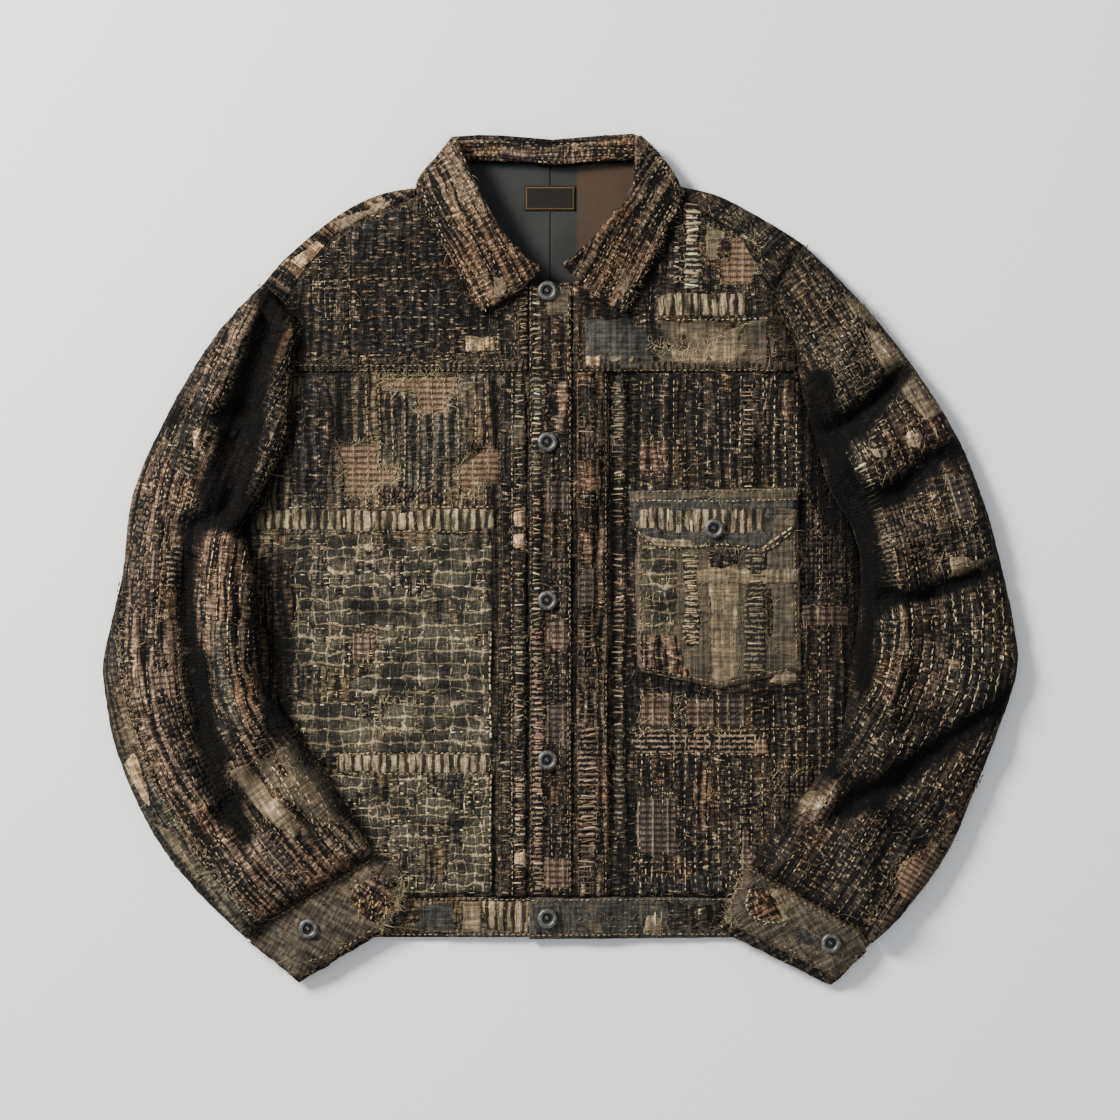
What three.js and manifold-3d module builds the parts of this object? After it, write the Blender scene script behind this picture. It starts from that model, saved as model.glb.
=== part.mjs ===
// A patched work jacket of thick quilted cloth, laid out flat and face up.
//
// Units are millimetres. +Z is up from the surface it lies on, +Y runs towards the collar and +X
// towards the sleeve of the wearer's left arm. "left" and "right" are the wearer's own sides.
//
// Every cloth piece is a sheet between two height fields, cut to its outline. All the fields are
// sampled on shared grids, so a piece that lies on another keeps its distance all over.
import * as THREE from "three";
import { mergeVertices } from "three/addons/utils/BufferGeometryUtils.js";
import Module from "manifold-3d";

const wasm = await Module();
wasm.setup();

// Cloth and layers
const GAP = 0.3; // air at a seam and between layers
const BACK_CLOTH = 2.0; // back of the body, and the collar's hidden fall
const LINING = 0.8;
const FRONT_CLOTH = 3.0; // outer cloth with its patches
const SLEEVE_CLOTH = 2.4;
const STRIP = 1.8; // pleats, pocket, flap and bands sewn on the fronts
const COLLAR_CLOTH = 2.6; // upper and under collar together
const LABEL = 0.7;

// Shape of the laid garment
const BODY_PUFF = 3.0; // most air between front and back
const SLEEVE_RIM = 4.0; // height of the sleeve's rolled edge above what it lies on
const SLEEVE_PUFF = 17.0; // rise of the sleeve's upper side above that edge
const SLEEVE_ROUND = 46; // distance from the edge at which the rise is complete
const CUFF_PUFF = 4.0;
const SLEEVE_ON_BODY = 10.2; // the fronts lift the sleeves by this much
const COLLAR_RISE = 15; // rise of the collar's roll line above the yokes
const BODY_GRID = 42; // spacing of the height fields' samples on the body
const FINE_GRID = 34; // and on the sleeves, cuffs and collar

// Fastenings
const BUTTON_RADIUS = 8.75;
const BUTTON_HEIGHT = 3.4;
const BUTTON_SIDES = 16;
const CENTRE_FRONT = -10.5;
const FRONT_BUTTONS = [226, 99, -34, -168, -301]; // heights up the placket

// ---------- plane geometry ----------

/** Points of a smooth line through a few of its points, about `step` apart. */
function smooth(points, step = 26) {
  const line = new THREE.SplineCurve(points.map(([x, y]) => new THREE.Vector2(x, y)));
  const count = Math.max(2, Math.round(line.getLength() / step));
  return line.getSpacedPoints(count).map((p) => [p.x, p.y]);
}

const moved = (points, dx, dy = 0) => points.map(([x, y]) => [x + dx, y + dy]);
const between = (line, low, high) => line.filter(([, y]) => y > low && y < high);
const reversed = (points) => [...points].reverse();

/** A line's points moved sideways, to the left of its direction. */
function beside(line, width) {
  return line.map(([x, y], i) => {
    const [ax, ay] = line[Math.max(0, i - 1)];
    const [bx, by] = line[Math.min(line.length - 1, i + 1)];
    const length = Math.hypot(bx - ax, by - ay);
    return [x - (width * (by - ay)) / length, y + (width * (bx - ax)) / length];
  });
}

/** A closed outline from runs of points; a point that repeats the one before it is dropped. */
function outline(...runs) {
  const points = runs.flat();
  return points.filter(([x, y], i) => {
    const [px, py] = points[(i + points.length - 1) % points.length];
    return Math.hypot(x - px, y - py) > 0.05;
  });
}

/** A closed outline drawn in by a distance all round, so that two pieces share a seam line. */
function inset(points, by) {
  const turn = Math.sign(THREE.ShapeUtils.area(points.map(([x, y]) => new THREE.Vector2(x, y))));
  return points.map(([x, y], i) => {
    const [ax, ay] = points[(i + points.length - 1) % points.length];
    const [nextX, nextY] = points[(i + 1) % points.length];
    const before = new THREE.Vector2(x - ax, y - ay).normalize();
    const after = new THREE.Vector2(nextX - x, nextY - y).normalize();
    const mitre = before.clone().add(after);
    if (mitre.length() < 0.2) mitre.copy(after);
    mitre.normalize();
    const reach = (turn * by) / Math.max(0.4, mitre.dot(after));
    return [x - mitre.y * reach, y + mitre.x * reach];
  });
}

/** Distance from a point to a line of points. */
function distanceTo(line, x, y, closed = false) {
  let best = Infinity;
  const last = closed ? line.length : line.length - 1;
  for (let i = 0; i < last; i += 1) {
    const [ax, ay] = line[i];
    const [bx, by] = line[(i + 1) % line.length];
    const length2 = (bx - ax) ** 2 + (by - ay) ** 2;
    const share = length2 ? ((x - ax) * (bx - ax) + (y - ay) * (by - ay)) / length2 : 0;
    const t = Math.min(1, Math.max(0, share));
    best = Math.min(best, Math.hypot(x - ax - t * (bx - ax), y - ay - t * (by - ay)));
  }
  return best;
}

/** Whether a point lies inside a closed outline. */
function inside(line, x, y) {
  let within = false;
  for (let i = 0, j = line.length - 1; i < line.length; j = i, i += 1) {
    const [ax, ay] = line[i];
    const [bx, by] = line[j];
    if (ay > y !== by > y && x < ((bx - ax) * (y - ay)) / (by - ay) + ax) within = !within;
  }
  return within;
}

/** Distance to a closed outline, positive inside it. */
const depthIn = (line, x, y) => distanceTo(line, x, y, true) * (inside(line, x, y) ? 1 : -1);

const clamp01 = (t) => Math.min(1, Math.max(0, t));
const ease = (t) => clamp01(t) ** 2 * (3 - 2 * clamp01(t));

/** Sum of soft ridges, or troughs where height is negative, each along a line of points. */
function folds(list, x, y) {
  return list.reduce((sum, { line, width, height }) => {
    const near = distanceTo(line, x, y) / width;
    return near > 3 ? sum : sum + height * Math.exp(-near * near);
  }, 0);
}

// ---------- outlines ----------

const YOKE_SEAM = 158; // height of the seam between yoke and front
const BAND_SEAM = -283; // height of the seam between front and waistband
const HEM = -317.5;

const rightArmhole = smooth([
  [-250, 232], [-233, 213], [-222, 196], [-226, 142], [-229, 100], [-250, 58], [-269, 26],
]);
const leftArmhole = smooth([
  [205, 265], [182, 222], [197, 185], [202, 150], [212, 110], [226, 62], [244, 32],
]);
const rightSide = smooth([[-269, 26], [-262, -60], [-252, -150], [-243, -230], [-240, BAND_SEAM]]);
const leftSide = smooth([[244, 32], [257, -20], [253, -80], [241, -150], [228, -220], [222, BAND_SEAM]]);
const rightShoulder = smooth([[-121, 313], [-153, 307], [-187, 290], [-229, 256], [-250, 232]]);
const leftShoulder = smooth([[101, 314], [134, 306], [165, 290], [194, 273], [205, 265]]);
const rightNeck = smooth([[-112, 312], [-100, 280], [-66, 246], [-26, 233]]);
const leftNeck = smooth([[94, 312], [76, 275], [40, 246], [11, 233]]);
const backNeck = smooth([[-84, 335.5], [-32, 334.5], [-5, 332], [28, 334.5], [66, 336]]);

// The body's own silhouette, which the back panel fills.
const bodyOutline = outline(
  backNeck,
  leftShoulder,
  leftArmhole,
  leftSide,
  [[222, HEM], [-240, HEM]],
  reversed(rightSide),
  reversed(rightArmhole),
  reversed(rightShoulder),
);

// The right sleeve's silhouette runs down the outer edge, over the cuff seam and back up inside.
const rightSleeveOuter = smooth([
  [-250, 232], [-289, 189], [-330, 122], [-359, 55], [-368, -12],
  [-383, -79], [-383.5, -105], [-372, -163], [-342, -230], [-303, -281], [-262, -318],
]);
const rightSleeveInner = smooth([
  [-269, 26], [-257, -8], [-251, -60], [-249, -102], [-228, -135], [-186, -195], [-155, -246],
]);
const rightCuffSeam = [[-155, -246], [-200, -273], [-246, -301], [-262, -318]];
const rightSleeveOutline = outline(
  rightSleeveOuter,
  reversed(rightCuffSeam),
  reversed(rightSleeveInner),
  reversed(rightArmhole),
);
// Seam where the under sleeve comes round to the front.
const rightElbowSeam = smooth([
  [-367.5, -18], [-369, -30], [-368, -75], [-354, -135],
  [-332, -193], [-300, -246], [-262, -290], [-246, -301],
]);

const leftSleeveOuter = smooth([
  [205, 265], [247, 223], [290, 172], [333, 105], [354, 55], [369, 4],
  [383, -62], [383.5, -96], [367, -147], [346, -200], [325, -247], [288, -298], [262, -322],
]);
const leftSleeveInner = smooth([
  [244, 32], [251, 9], [253, -20], [251, -42], [245, -90],
  [234, -155], [212, -188], [183, -223], [160, -256],
]);
const leftCuffSeam = [[160, -256], [205, -283], [252, -309], [262, -322]];
const leftSleeveOutline = outline(
  leftSleeveInner,
  leftCuffSeam,
  reversed(leftSleeveOuter),
  leftArmhole,
);
const leftElbowSeam = smooth([[353, -180], [322, -229], [284, -256], [267, -287], [252, -309]]);

// ---------- height fields ----------

const collarFall = [[-92, 356], [-92, 312], [68, 312], [68, 358]];

const backLift = (x, y) => (BACK_CLOTH + GAP + 0.2) * ease(1 + (depthIn(collarFall, x, y) + 50) / 34);
const backTop = (x, y) => backLift(x, y) + BACK_CLOTH;
const bodyFolds = [
  { line: [[-205, 120], [-215, 20], [-205, -90]], width: 26, height: -1.6 },
  { line: [[215, -40], [200, -130], [195, -220]], width: 18, height: -1.6 },
];
function bodyPuff(x, y) {
  const rise = BODY_PUFF * (1 - Math.exp(-Math.max(0, depthIn(bodyOutline, x, y)) / 32));
  return Math.max(0, rise + folds(bodyFolds, x, y));
}
const frontUnder = (x, y) => backTop(x, y) + GAP + LINING + GAP + bodyPuff(x, y);
const frontTop = (x, y) => frontUnder(x, y) + FRONT_CLOTH;

const PLACKET_EDGE = -26;
const PLACKET_SEAM = 11;
// The left front climbs to the placket, which lies over the right front.
const leftFrontUnder = (x, y) =>
  frontUnder(x, y) + (FRONT_CLOTH + GAP) * ease(1 - (x - PLACKET_SEAM) / 36);
const leftFrontTop = (x, y) => leftFrontUnder(x, y) + FRONT_CLOTH;
const placketUnder = (x, y) => frontTop(x, y) + GAP;

/** What a sleeve lies on: the surface, or the fronts where it crosses them. */
function sleeveBase(x, y) {
  const nearBody = ease((depthIn(bodyOutline, x, y) + 54) / 28);
  return SLEEVE_ON_BODY * nearBody * ease((104 - y) / 50);
}

const rightFolds = [
  { line: [[-246, 205], [-256, 160], [-278, 90], [-280, 45]], width: 15, height: -12 },
  { line: [[-300, 30], [-312, -40], [-302, -115], [-290, -180], [-262, -232]], width: 13, height: -11 },
  { line: [[-262, -30], [-268, -90]], width: 16, height: 5 },
  { line: [[-338, 60], [-345, -40], [-340, -110]], width: 18, height: 5 },
  { line: [[-330, 125], [-296, 118]], width: 10, height: -4 },
];
const leftFolds = [
  { line: [[226, 92], [262, 128], [280, 150]], width: 12, height: -9 },
  { line: [[258, 30], [290, 58], [312, 78]], width: 12, height: -9 },
  { line: [[285, -30], [330, -20], [366, -3]], width: 12, height: -7 },
  { line: [[378, -96], [325, -152], [276, -176], [232, -208]], width: 13, height: -11 },
  { line: [[262, 206], [240, 186]], width: 14, height: 7 },
  { line: [[300, -70], [318, -110]], width: 22, height: 5 },
];

/** Height of a sleeve's upper side above its rolled edge. */
function sleeveRise(silhouette, list, x, y) {
  const depth = Math.max(0, depthIn(silhouette, x, y));
  const t = 1 - Math.min(1, depth / SLEEVE_ROUND);
  const full = SLEEVE_PUFF * Math.sqrt(1 - t * t);
  const share = clamp01(depth / 20); // folds fade out at the rolled edge
  return Math.max(0, full + share * folds(list, x, y));
}
const rightRise = (x, y) => sleeveRise(rightSleeveOutline, rightFolds, x, y);
const leftRise = (x, y) => sleeveRise(leftSleeveOutline, leftFolds, x, y);
/** Underside of the lower layer: flat where it rests and turned up at the edge. */
const rolledEdge = (silhouette, x, y) =>
  SLEEVE_RIM * (1 - ease(Math.max(0, depthIn(silhouette, x, y)) / 24));

// ---------- solids ----------

const TALL = 120; // height of the cutting prisms

/** A closed three.js geometry as a manifold solid. */
function solidOf(geometry) {
  const bare = geometry.clone();
  bare.deleteAttribute("normal");
  bare.deleteAttribute("uv");
  const merged = mergeVertices(bare, 1e-4);
  return new wasm.Manifold(
    new wasm.Mesh({
      numProp: 3,
      vertProperties: merged.attributes.position.array,
      triVerts: new Uint32Array(merged.index.array),
    }),
  );
}

/** A manifold solid as a three.js geometry. */
function geometryOf(solid) {
  const mesh = solid.getMesh();
  const geometry = new THREE.BufferGeometry();
  geometry.setAttribute("position", new THREE.BufferAttribute(mesh.vertProperties, 3));
  geometry.setIndex(new THREE.BufferAttribute(mesh.triVerts, 1));
  return geometry;
}

/** An upright prism over a closed outline. */
function prism(points) {
  const turn = THREE.ShapeUtils.area(points.map(([x, y]) => new THREE.Vector2(x, y)));
  const ordered = turn > 0 ? points : reversed(points);
  const shape = new THREE.Shape(ordered.map(([x, y]) => new THREE.Vector2(x, y)));
  const geometry = new THREE.ExtrudeGeometry(shape, { depth: TALL, bevelEnabled: false });
  return solidOf(geometry.translate(0, 0, -TALL / 2));
}

/** A slab between two height fields on the shared grid, over the box around an outline. */
function slab(points, under, top, grid) {
  const xs = points.map((p) => p[0]);
  const ys = points.map((p) => p[1]);
  const x0 = Math.floor(Math.min(...xs) / grid) - 1;
  const y0 = Math.floor(Math.min(...ys) / grid) - 1;
  const nx = Math.ceil(Math.max(...xs) / grid) + 1 - x0;
  const ny = Math.ceil(Math.max(...ys) / grid) + 1 - y0;
  const position = [];
  for (const field of [under, top]) {
    for (let j = 0; j <= ny; j += 1) {
      for (let i = 0; i <= nx; i += 1) {
        const x = (x0 + i) * grid;
        const y = (y0 + j) * grid;
        position.push(x, y, field(x, y));
      }
    }
  }
  const layer = (nx + 1) * (ny + 1);
  const at = (i, j, k) => k * layer + j * (nx + 1) + i;
  const index = [];
  const wall = (a, b) => index.push(a, b, b + layer, a, b + layer, a + layer);
  for (let j = 0; j < ny; j += 1) {
    for (let i = 0; i < nx; i += 1) {
      const [a, b, c, d] = [at(i, j, 1), at(i + 1, j, 1), at(i + 1, j + 1, 1), at(i, j + 1, 1)];
      index.push(a, b, c, a, c, d);
      index.push(a - layer, c - layer, b - layer, a - layer, d - layer, c - layer);
    }
  }
  for (let i = 0; i < nx; i += 1) {
    wall(at(i, 0, 0), at(i + 1, 0, 0));
    wall(at(i + 1, ny, 0), at(i, ny, 0));
  }
  for (let j = 0; j < ny; j += 1) {
    wall(at(nx, j, 0), at(nx, j + 1, 0));
    wall(at(0, j + 1, 0), at(0, j, 0));
  }
  const geometry = new THREE.BufferGeometry();
  geometry.setAttribute("position", new THREE.Float32BufferAttribute(position, 3));
  geometry.setIndex(index);
  return solidOf(geometry);
}

/** A sheet of cloth: the slab between two fields, cut just inside its outline. */
function sheet(points, under, top, grid = BODY_GRID) {
  return slab(points, under, top, grid).intersect(prism(inset(points, GAP / 2)));
}
const fineSheet = (points, under, top) => sheet(points, under, top, FINE_GRID);
const raised = (field, by) => (x, y) => field(x, y) + by;

// ---------- materials ----------

const cloth = (color, roughness = 0.95) => new THREE.MeshStandardMaterial({ color, roughness, metalness: 0 });
const BORO_DARK = cloth(0x2e2a27);
const BORO_BROWN = cloth(0x3a322b);
const BORO_GREY = cloth(0x3c3b37);
const LINING_CLOTH = cloth(0x2c2d2d, 0.8);
const LABEL_CLOTH = cloth(0x17140f, 0.7);
const AGED_METAL = new THREE.MeshStandardMaterial({ color: 0x55565a, roughness: 0.45, metalness: 0.9 });

const jacket = new THREE.Group();

function add(name, solid, material) {
  const mesh = new THREE.Mesh(geometryOf(solid), material);
  mesh.name = name;
  jacket.add(mesh);
}

// ---------- back of the body ----------

add("back_panel", sheet(bodyOutline, backLift, backTop), BORO_DARK);

const liningOutline = outline(
  moved(backNeck, 0, -1),
  [[92, 300], [100, 240], [60, 205], [-90, 205], [-118, 240], [-108, 300]],
);
add(
  "neck_lining",
  sheet(liningOutline, raised(backTop, GAP), raised(backTop, GAP + LINING)),
  LINING_CLOTH,
);
const labelUnder = raised(backTop, GAP + LINING + GAP);
add(
  "neck_label",
  sheet([[-30, 294], [13, 294], [13, 315], [-30, 315]], labelUnder, raised(labelUnder, LABEL)),
  LABEL_CLOTH,
);

// ---------- fronts and yokes ----------

// The shoulder seams lie forward of the ridge, so the back yoke rolls over to the front.
const rightRollEdge = smooth([[-126, 303], [-160, 290], [-190, 272], [-214, 245], [-233, 213]]);
const leftRollEdge = smooth([[105, 303], [122, 291], [147, 276], [167, 246], [181.9, 220.8]]);

const rightRidge = outline(rightShoulder, between(rightArmhole, 214, 231), reversed(rightRollEdge));
add("right_shoulder", sheet(rightRidge, frontUnder, frontTop), BORO_BROWN);
const leftRidge = outline(leftShoulder, between(leftArmhole, 221, 264), reversed(leftRollEdge));
add("left_shoulder", sheet(leftRidge, frontUnder, frontTop), BORO_DARK);

const rightYoke = outline(
  rightRollEdge,
  between(rightArmhole, YOKE_SEAM, 212),
  [[-224.5, YOKE_SEAM], [PLACKET_EDGE, YOKE_SEAM]],
  reversed(rightNeck),
);
add("right_yoke", sheet(rightYoke, frontUnder, frontTop), BORO_DARK);

const leftYoke = outline(
  leftNeck,
  [[PLACKET_SEAM, YOKE_SEAM], [201, YOKE_SEAM]],
  reversed(between(leftArmhole, YOKE_SEAM, 220.5)),
  reversed(leftRollEdge),
);
add("left_yoke", sheet(leftYoke, leftFrontUnder, leftFrontTop), BORO_GREY);

const rightFront = outline(
  [[PLACKET_EDGE, YOKE_SEAM], [-224.5, YOKE_SEAM]],
  between(rightArmhole, 26.5, YOKE_SEAM),
  rightSide,
  [[PLACKET_SEAM - 1, BAND_SEAM], [PLACKET_SEAM - 1, 222], [PLACKET_EDGE, 222]],
);
add("right_front", sheet(rightFront, frontUnder, frontTop), BORO_GREY);

const leftFront = outline(
  [[PLACKET_SEAM, YOKE_SEAM], [201, YOKE_SEAM]],
  between(leftArmhole, 32, YOKE_SEAM),
  leftSide,
  [[PLACKET_SEAM, BAND_SEAM]],
);
add("left_front", sheet(leftFront, leftFrontUnder, leftFrontTop), BORO_BROWN);

const placket = [
  [PLACKET_EDGE, BAND_SEAM],
  [PLACKET_SEAM, BAND_SEAM],
  [PLACKET_SEAM, 233],
  [PLACKET_EDGE, 233],
];
const placketTop = raised(placketUnder, FRONT_CLOTH);
add("left_placket", sheet(placket, placketUnder, placketTop), BORO_BROWN);

/** A strip as wide as a pleat, from the yoke seam down to the waistband. */
const strip = (x0, x1) => [[x0, BAND_SEAM], [x1, BAND_SEAM], [x1, YOKE_SEAM], [x0, YOKE_SEAM]];
const onRight = raised(frontTop, GAP);
const onLeft = raised(leftFrontTop, GAP);
add("right_pleat", sheet(strip(-52, -28), onRight, raised(onRight, STRIP)), BORO_GREY);
add("left_pleat", sheet(strip(14, 41), onLeft, raised(onLeft, STRIP)), BORO_BROWN);

// ---------- pocket ----------

const pocket = [[62, 44], [65, -88], [69, -94], [135, -108], [203, -93], [200, 44]];
const pocketUnder = raised(leftFrontTop, GAP);
const pocketTop = raised(pocketUnder, STRIP);
add("chest_pocket", sheet(pocket, pocketUnder, pocketTop), BORO_GREY);
const flap = [[58, 58], [61, 26], [83, 8], [138, 11], [174, 6], [199, 25], [201, 61]];
const flapUnder = raised(pocketTop, GAP);
const flapTop = raised(flapUnder, STRIP);
add("pocket_flap", sheet(flap, flapUnder, flapTop), BORO_GREY);

// ---------- waistband ----------

const BAND_BACK = 1.4; // how far the fronts' band hangs below the back's
const RIGHT_END = -240; // where the band meets the side seams
const LEFT_END = 222;
const band = (x0, x1) => [[x0, HEM], [x1, HEM], [x1, BAND_SEAM - GAP], [x0, BAND_SEAM - GAP]];
add(
  "right_waistband",
  sheet(band(RIGHT_END, PLACKET_SEAM - 1), frontUnder, frontTop),
  BORO_GREY,
);
const leftBand = outline(
  [[PLACKET_EDGE, HEM - BAND_BACK], [LEFT_END, HEM]],
  [[LEFT_END, BAND_SEAM - GAP], [PLACKET_EDGE, BAND_SEAM - GAP]],
);
const leftBandUnder = (x, y) => {
  const overPlacket = ease(1 - (x - PLACKET_SEAM - 20) / 36);
  return frontUnder(x, y) + (FRONT_CLOTH + GAP) * overPlacket;
};
add("left_waistband", sheet(leftBand, leftBandUnder, raised(leftBandUnder, FRONT_CLOTH)), BORO_GREY);

// ---------- sleeves ----------

const onSleeve = (rise) => (x, y) => sleeveBase(x, y) + SLEEVE_RIM + SLEEVE_CLOTH + GAP + rise(x, y);

/** A narrow strip of cloth along a line, which closes a fold between two layers. */
const fold = (line, width, under, top) => {
  return fineSheet(outline(line, reversed(beside(line, width))), under, top);
};

/**
 * The lower layer of a sleeve: it lies flat, rolls up at the outer and inner edges to meet the
 * upper layer, and turns to the front in the strip beyond the elbow seam.
 */
function underSleeve({ silhouette, edges, turned, turnedEdge, rise }) {
  const under = (x, y) => sleeveBase(x, y) + rolledEdge(silhouette, x, y);
  const upper = onSleeve(rise);
  const upperTop = raised(upper, SLEEVE_CLOTH);
  return [
    fineSheet(turned, upper, upperTop),
    fold(turnedEdge, SLEEVE_CLOTH, under, upperTop),
    ...edges.map((edge) => fold(edge, SLEEVE_CLOTH, under, raised(upper, -GAP))),
  ].reduce((whole, piece) => whole.add(piece), fineSheet(silhouette, under, raised(under, SLEEVE_CLOTH)));
}

const rightTurned = outline(
  rightElbowSeam,
  [[-262, -318]],
  reversed(between(rightSleeveOuter, -314, -22)),
);
const leftTurned = outline(
  leftElbowSeam,
  [[262, -322]],
  reversed(between(leftSleeveOuter, -318, -184)),
);
const rightSleeveTop = outline(
  between(rightSleeveOuter, -17, 240),
  rightElbowSeam,
  reversed(rightCuffSeam.slice(0, 2)),
  reversed(rightSleeveInner),
  reversed(rightArmhole),
);
const leftSleeveTop = outline(
  leftSleeveInner,
  leftCuffSeam.slice(0, 2),
  reversed(leftElbowSeam),
  reversed(between(leftSleeveOuter, -178, 270)),
  leftArmhole,
);

const rightSleeveOn = onSleeve(rightRise);
const leftSleeveOn = onSleeve(leftRise);
const rightUnder = underSleeve({
  silhouette: rightSleeveOutline,
  edges: [between(rightSleeveOuter, -314, 222), reversed(rightSleeveInner)],
  turned: rightTurned,
  turnedEdge: between(rightSleeveOuter, -314, -22),
  rise: rightRise,
});
const leftUnder = underSleeve({
  silhouette: leftSleeveOutline,
  edges: [reversed(between(leftSleeveOuter, -318, 245)), leftSleeveInner],
  turned: leftTurned,
  turnedEdge: reversed(between(leftSleeveOuter, -318, -184)),
  rise: leftRise,
});
add("right_sleeve_under", rightUnder, BORO_GREY);
const rightSleeveOver = raised(rightSleeveOn, SLEEVE_CLOTH);
add("right_sleeve_top", fineSheet(rightSleeveTop, rightSleeveOn, rightSleeveOver), BORO_BROWN);
add("left_sleeve_under", leftUnder, BORO_BROWN);
const leftSleeveOver = raised(leftSleeveOn, SLEEVE_CLOTH);
add("left_sleeve_top", fineSheet(leftSleeveTop, leftSleeveOn, leftSleeveOver), BORO_DARK);

// ---------- cuffs ----------

const rightCuff = outline(rightCuffSeam, [[-221, -352], [-152, -311], [-132, -282], [-133, -266]]);
const leftCuff = outline(leftCuffSeam, [[232, -351], [150, -310], [137, -301]]);

function cuff(side, points, shift) {
  const puff = (x, y) => CUFF_PUFF * (1 - Math.exp(-Math.max(0, depthIn(points, x, y)) / 10));
  const frontUnderCuff = (x, y) => sleeveBase(x, y) + SLEEVE_CLOTH + GAP + puff(x, y);
  const backTopSide = raised(sleeveBase, SLEEVE_CLOTH);
  add(`${side}_cuff_back`, fineSheet(moved(points, ...shift), sleeveBase, backTopSide), BORO_DARK);
  add(`${side}_cuff`, fineSheet(points, frontUnderCuff, raised(frontUnderCuff, SLEEVE_CLOTH)), BORO_GREY);
  return raised(frontUnderCuff, SLEEVE_CLOTH);
}
const rightCuffTop = cuff("right", rightCuff, [1.5, -3]);
const leftCuffTop = cuff("left", leftCuff, [-4, -7]);

// ---------- collar ----------

const rightRoll = smooth([[-86, 352], [-78, 332], [-69, 313], [-50, 278], [-33, 259], [-14, 244]]);
const rightLeafEdge = smooth([[-90, 356], [-103, 340], [-121, 314], [-107, 280], [-66, 209]]);
const rightLeaf = outline(rightLeafEdge, [[-39, 223], [-14, 244]], reversed(rightRoll));
const leftRoll = smooth([[63, 354], [62, 330], [59, 306], [46, 291], [24, 266], [2, 248]]);
const leftLeafEdge = smooth([[68, 356.5], [88, 336], [102, 308], [88, 273], [55, 208]]);
const leftLeaf = outline(leftLeafEdge, [[30, 219], [10, 239], [2, 248]], reversed(leftRoll));

/** How far across a leaf a point lies, from 0 at its outer edge to 1 at the roll line. */
function acrossLeaf(edge, roll, x, y) {
  const out = distanceTo(edge, x, y);
  return out / Math.max(1, out + distanceTo(roll, x, y));
}

function leafUnder(edge, roll) {
  return (x, y) => {
    const below = Math.max(leftFrontTop(x, y), frontTop(x, y) + GAP + FRONT_CLOTH) + 1;
    const rise = COLLAR_RISE * acrossLeaf(edge, roll, x, y) ** 1.3;
    return below + rise * ease((y - 196) / 90);
  };
}

/** A leaf with the inner side that stands on the lining along its roll line. */
function leaf(points, edge, roll, standWidth) {
  const under = leafUnder(edge, roll);
  const stand = outline(roll, reversed(beside(roll, standWidth)));
  const floor = raised(backTop, LINING + 2);
  return fineSheet(points, under, raised(under, COLLAR_CLOTH)).add(fineSheet(stand, floor, raised(under, 1)));
}

// At the back the collar stands up from the neck seam to its roll, and its fall turns under.
const backRoll = [
  [70, 348], [68, 356], [61, 358.5], [35, 357], [-6, 353.5], [-48, 357], [-68, 357.5], [-90, 356], [-92, 346],
];
const backStand = outline(
  reversed(backRoll),
  [[64, 337]],
  reversed(moved(backNeck, 0, 0.4).filter(([x]) => x > -76 && x < 60)),
  [[-82, 337]],
);
const fallOutline = outline([[-90, 314], [66, 314]], backRoll.slice(1, 8));
const belowRoll = (y) => Math.max(0, 357 - y);
const standUnder = (x, y) => backTop(x, y) + 2 + 8 * ease(belowRoll(y) / 30) * ease((y - 318) / 16);
const fallUnder = () => 0;
const collar = [
  leaf(rightLeaf, rightLeafEdge, rightRoll, -3),
  leaf(leftLeaf, leftLeafEdge, leftRoll, 3),
  fineSheet(backStand, standUnder, raised(standUnder, COLLAR_CLOTH)),
  fineSheet(fallOutline, fallUnder, raised(fallUnder, BACK_CLOTH)),
  fineSheet(outline(backRoll, reversed(beside(backRoll, 4))), fallUnder, raised(standUnder, COLLAR_CLOTH)),
].reduce((whole, piece) => whole.add(piece));
add("collar", collar, BORO_DARK);

// ---------- buttons ----------

const donut = [
  [0, 0], [7.6, 0], [BUTTON_RADIUS, 1.1], [8.2, 2.6], [6.4, BUTTON_HEIGHT], [4.5, 2.7], [3.4, 1.3], [0, 1.0],
].map(([r, z]) => new THREE.Vector2(r, z));

/** A pressed ring button, just clear of the cloth all round. */
function button(name, x, y, top) {
  let rest = top(x, y);
  for (let i = 0; i < BUTTON_SIDES; i += 1) {
    const angle = (2 * Math.PI * i) / BUTTON_SIDES;
    rest = Math.max(rest, top(x + BUTTON_RADIUS * Math.cos(angle), y + BUTTON_RADIUS * Math.sin(angle)));
  }
  const mesh = new THREE.Mesh(new THREE.LatheGeometry(donut, BUTTON_SIDES), AGED_METAL);
  mesh.rotation.x = Math.PI / 2;
  mesh.position.set(x, y, rest + GAP + 0.6);
  mesh.name = name;
  jacket.add(mesh);
}

const leftBandTop = raised(leftBandUnder, FRONT_CLOTH);
FRONT_BUTTONS.forEach((y, i) => {
  const rest = y < BAND_SEAM ? leftBandTop : placketTop;
  button(`front_button_${i + 1}`, CENTRE_FRONT, y, rest);
});
button("pocket_button", 129.5, 26.5, flapTop);
button("right_cuff_button", -211, -309, rightCuffTop);
button("left_cuff_button", 227, -321, leftCuffTop);

export default jacket;
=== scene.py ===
"""A patched boro work jacket, laid out flat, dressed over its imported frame.

Lengths are millimetres until a mesh is made, and metres in Blender. "left" and "right" are the
wearer's own sides, so the right sleeve lies at -X. Every cloth piece is a sheet between a top
surface and the same surface a cloth's thickness lower, cut to its outline.
"""

import math

import bmesh
import bpy
import numpy as np
from mathutils import Euler, Matrix, Vector, geometry


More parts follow.
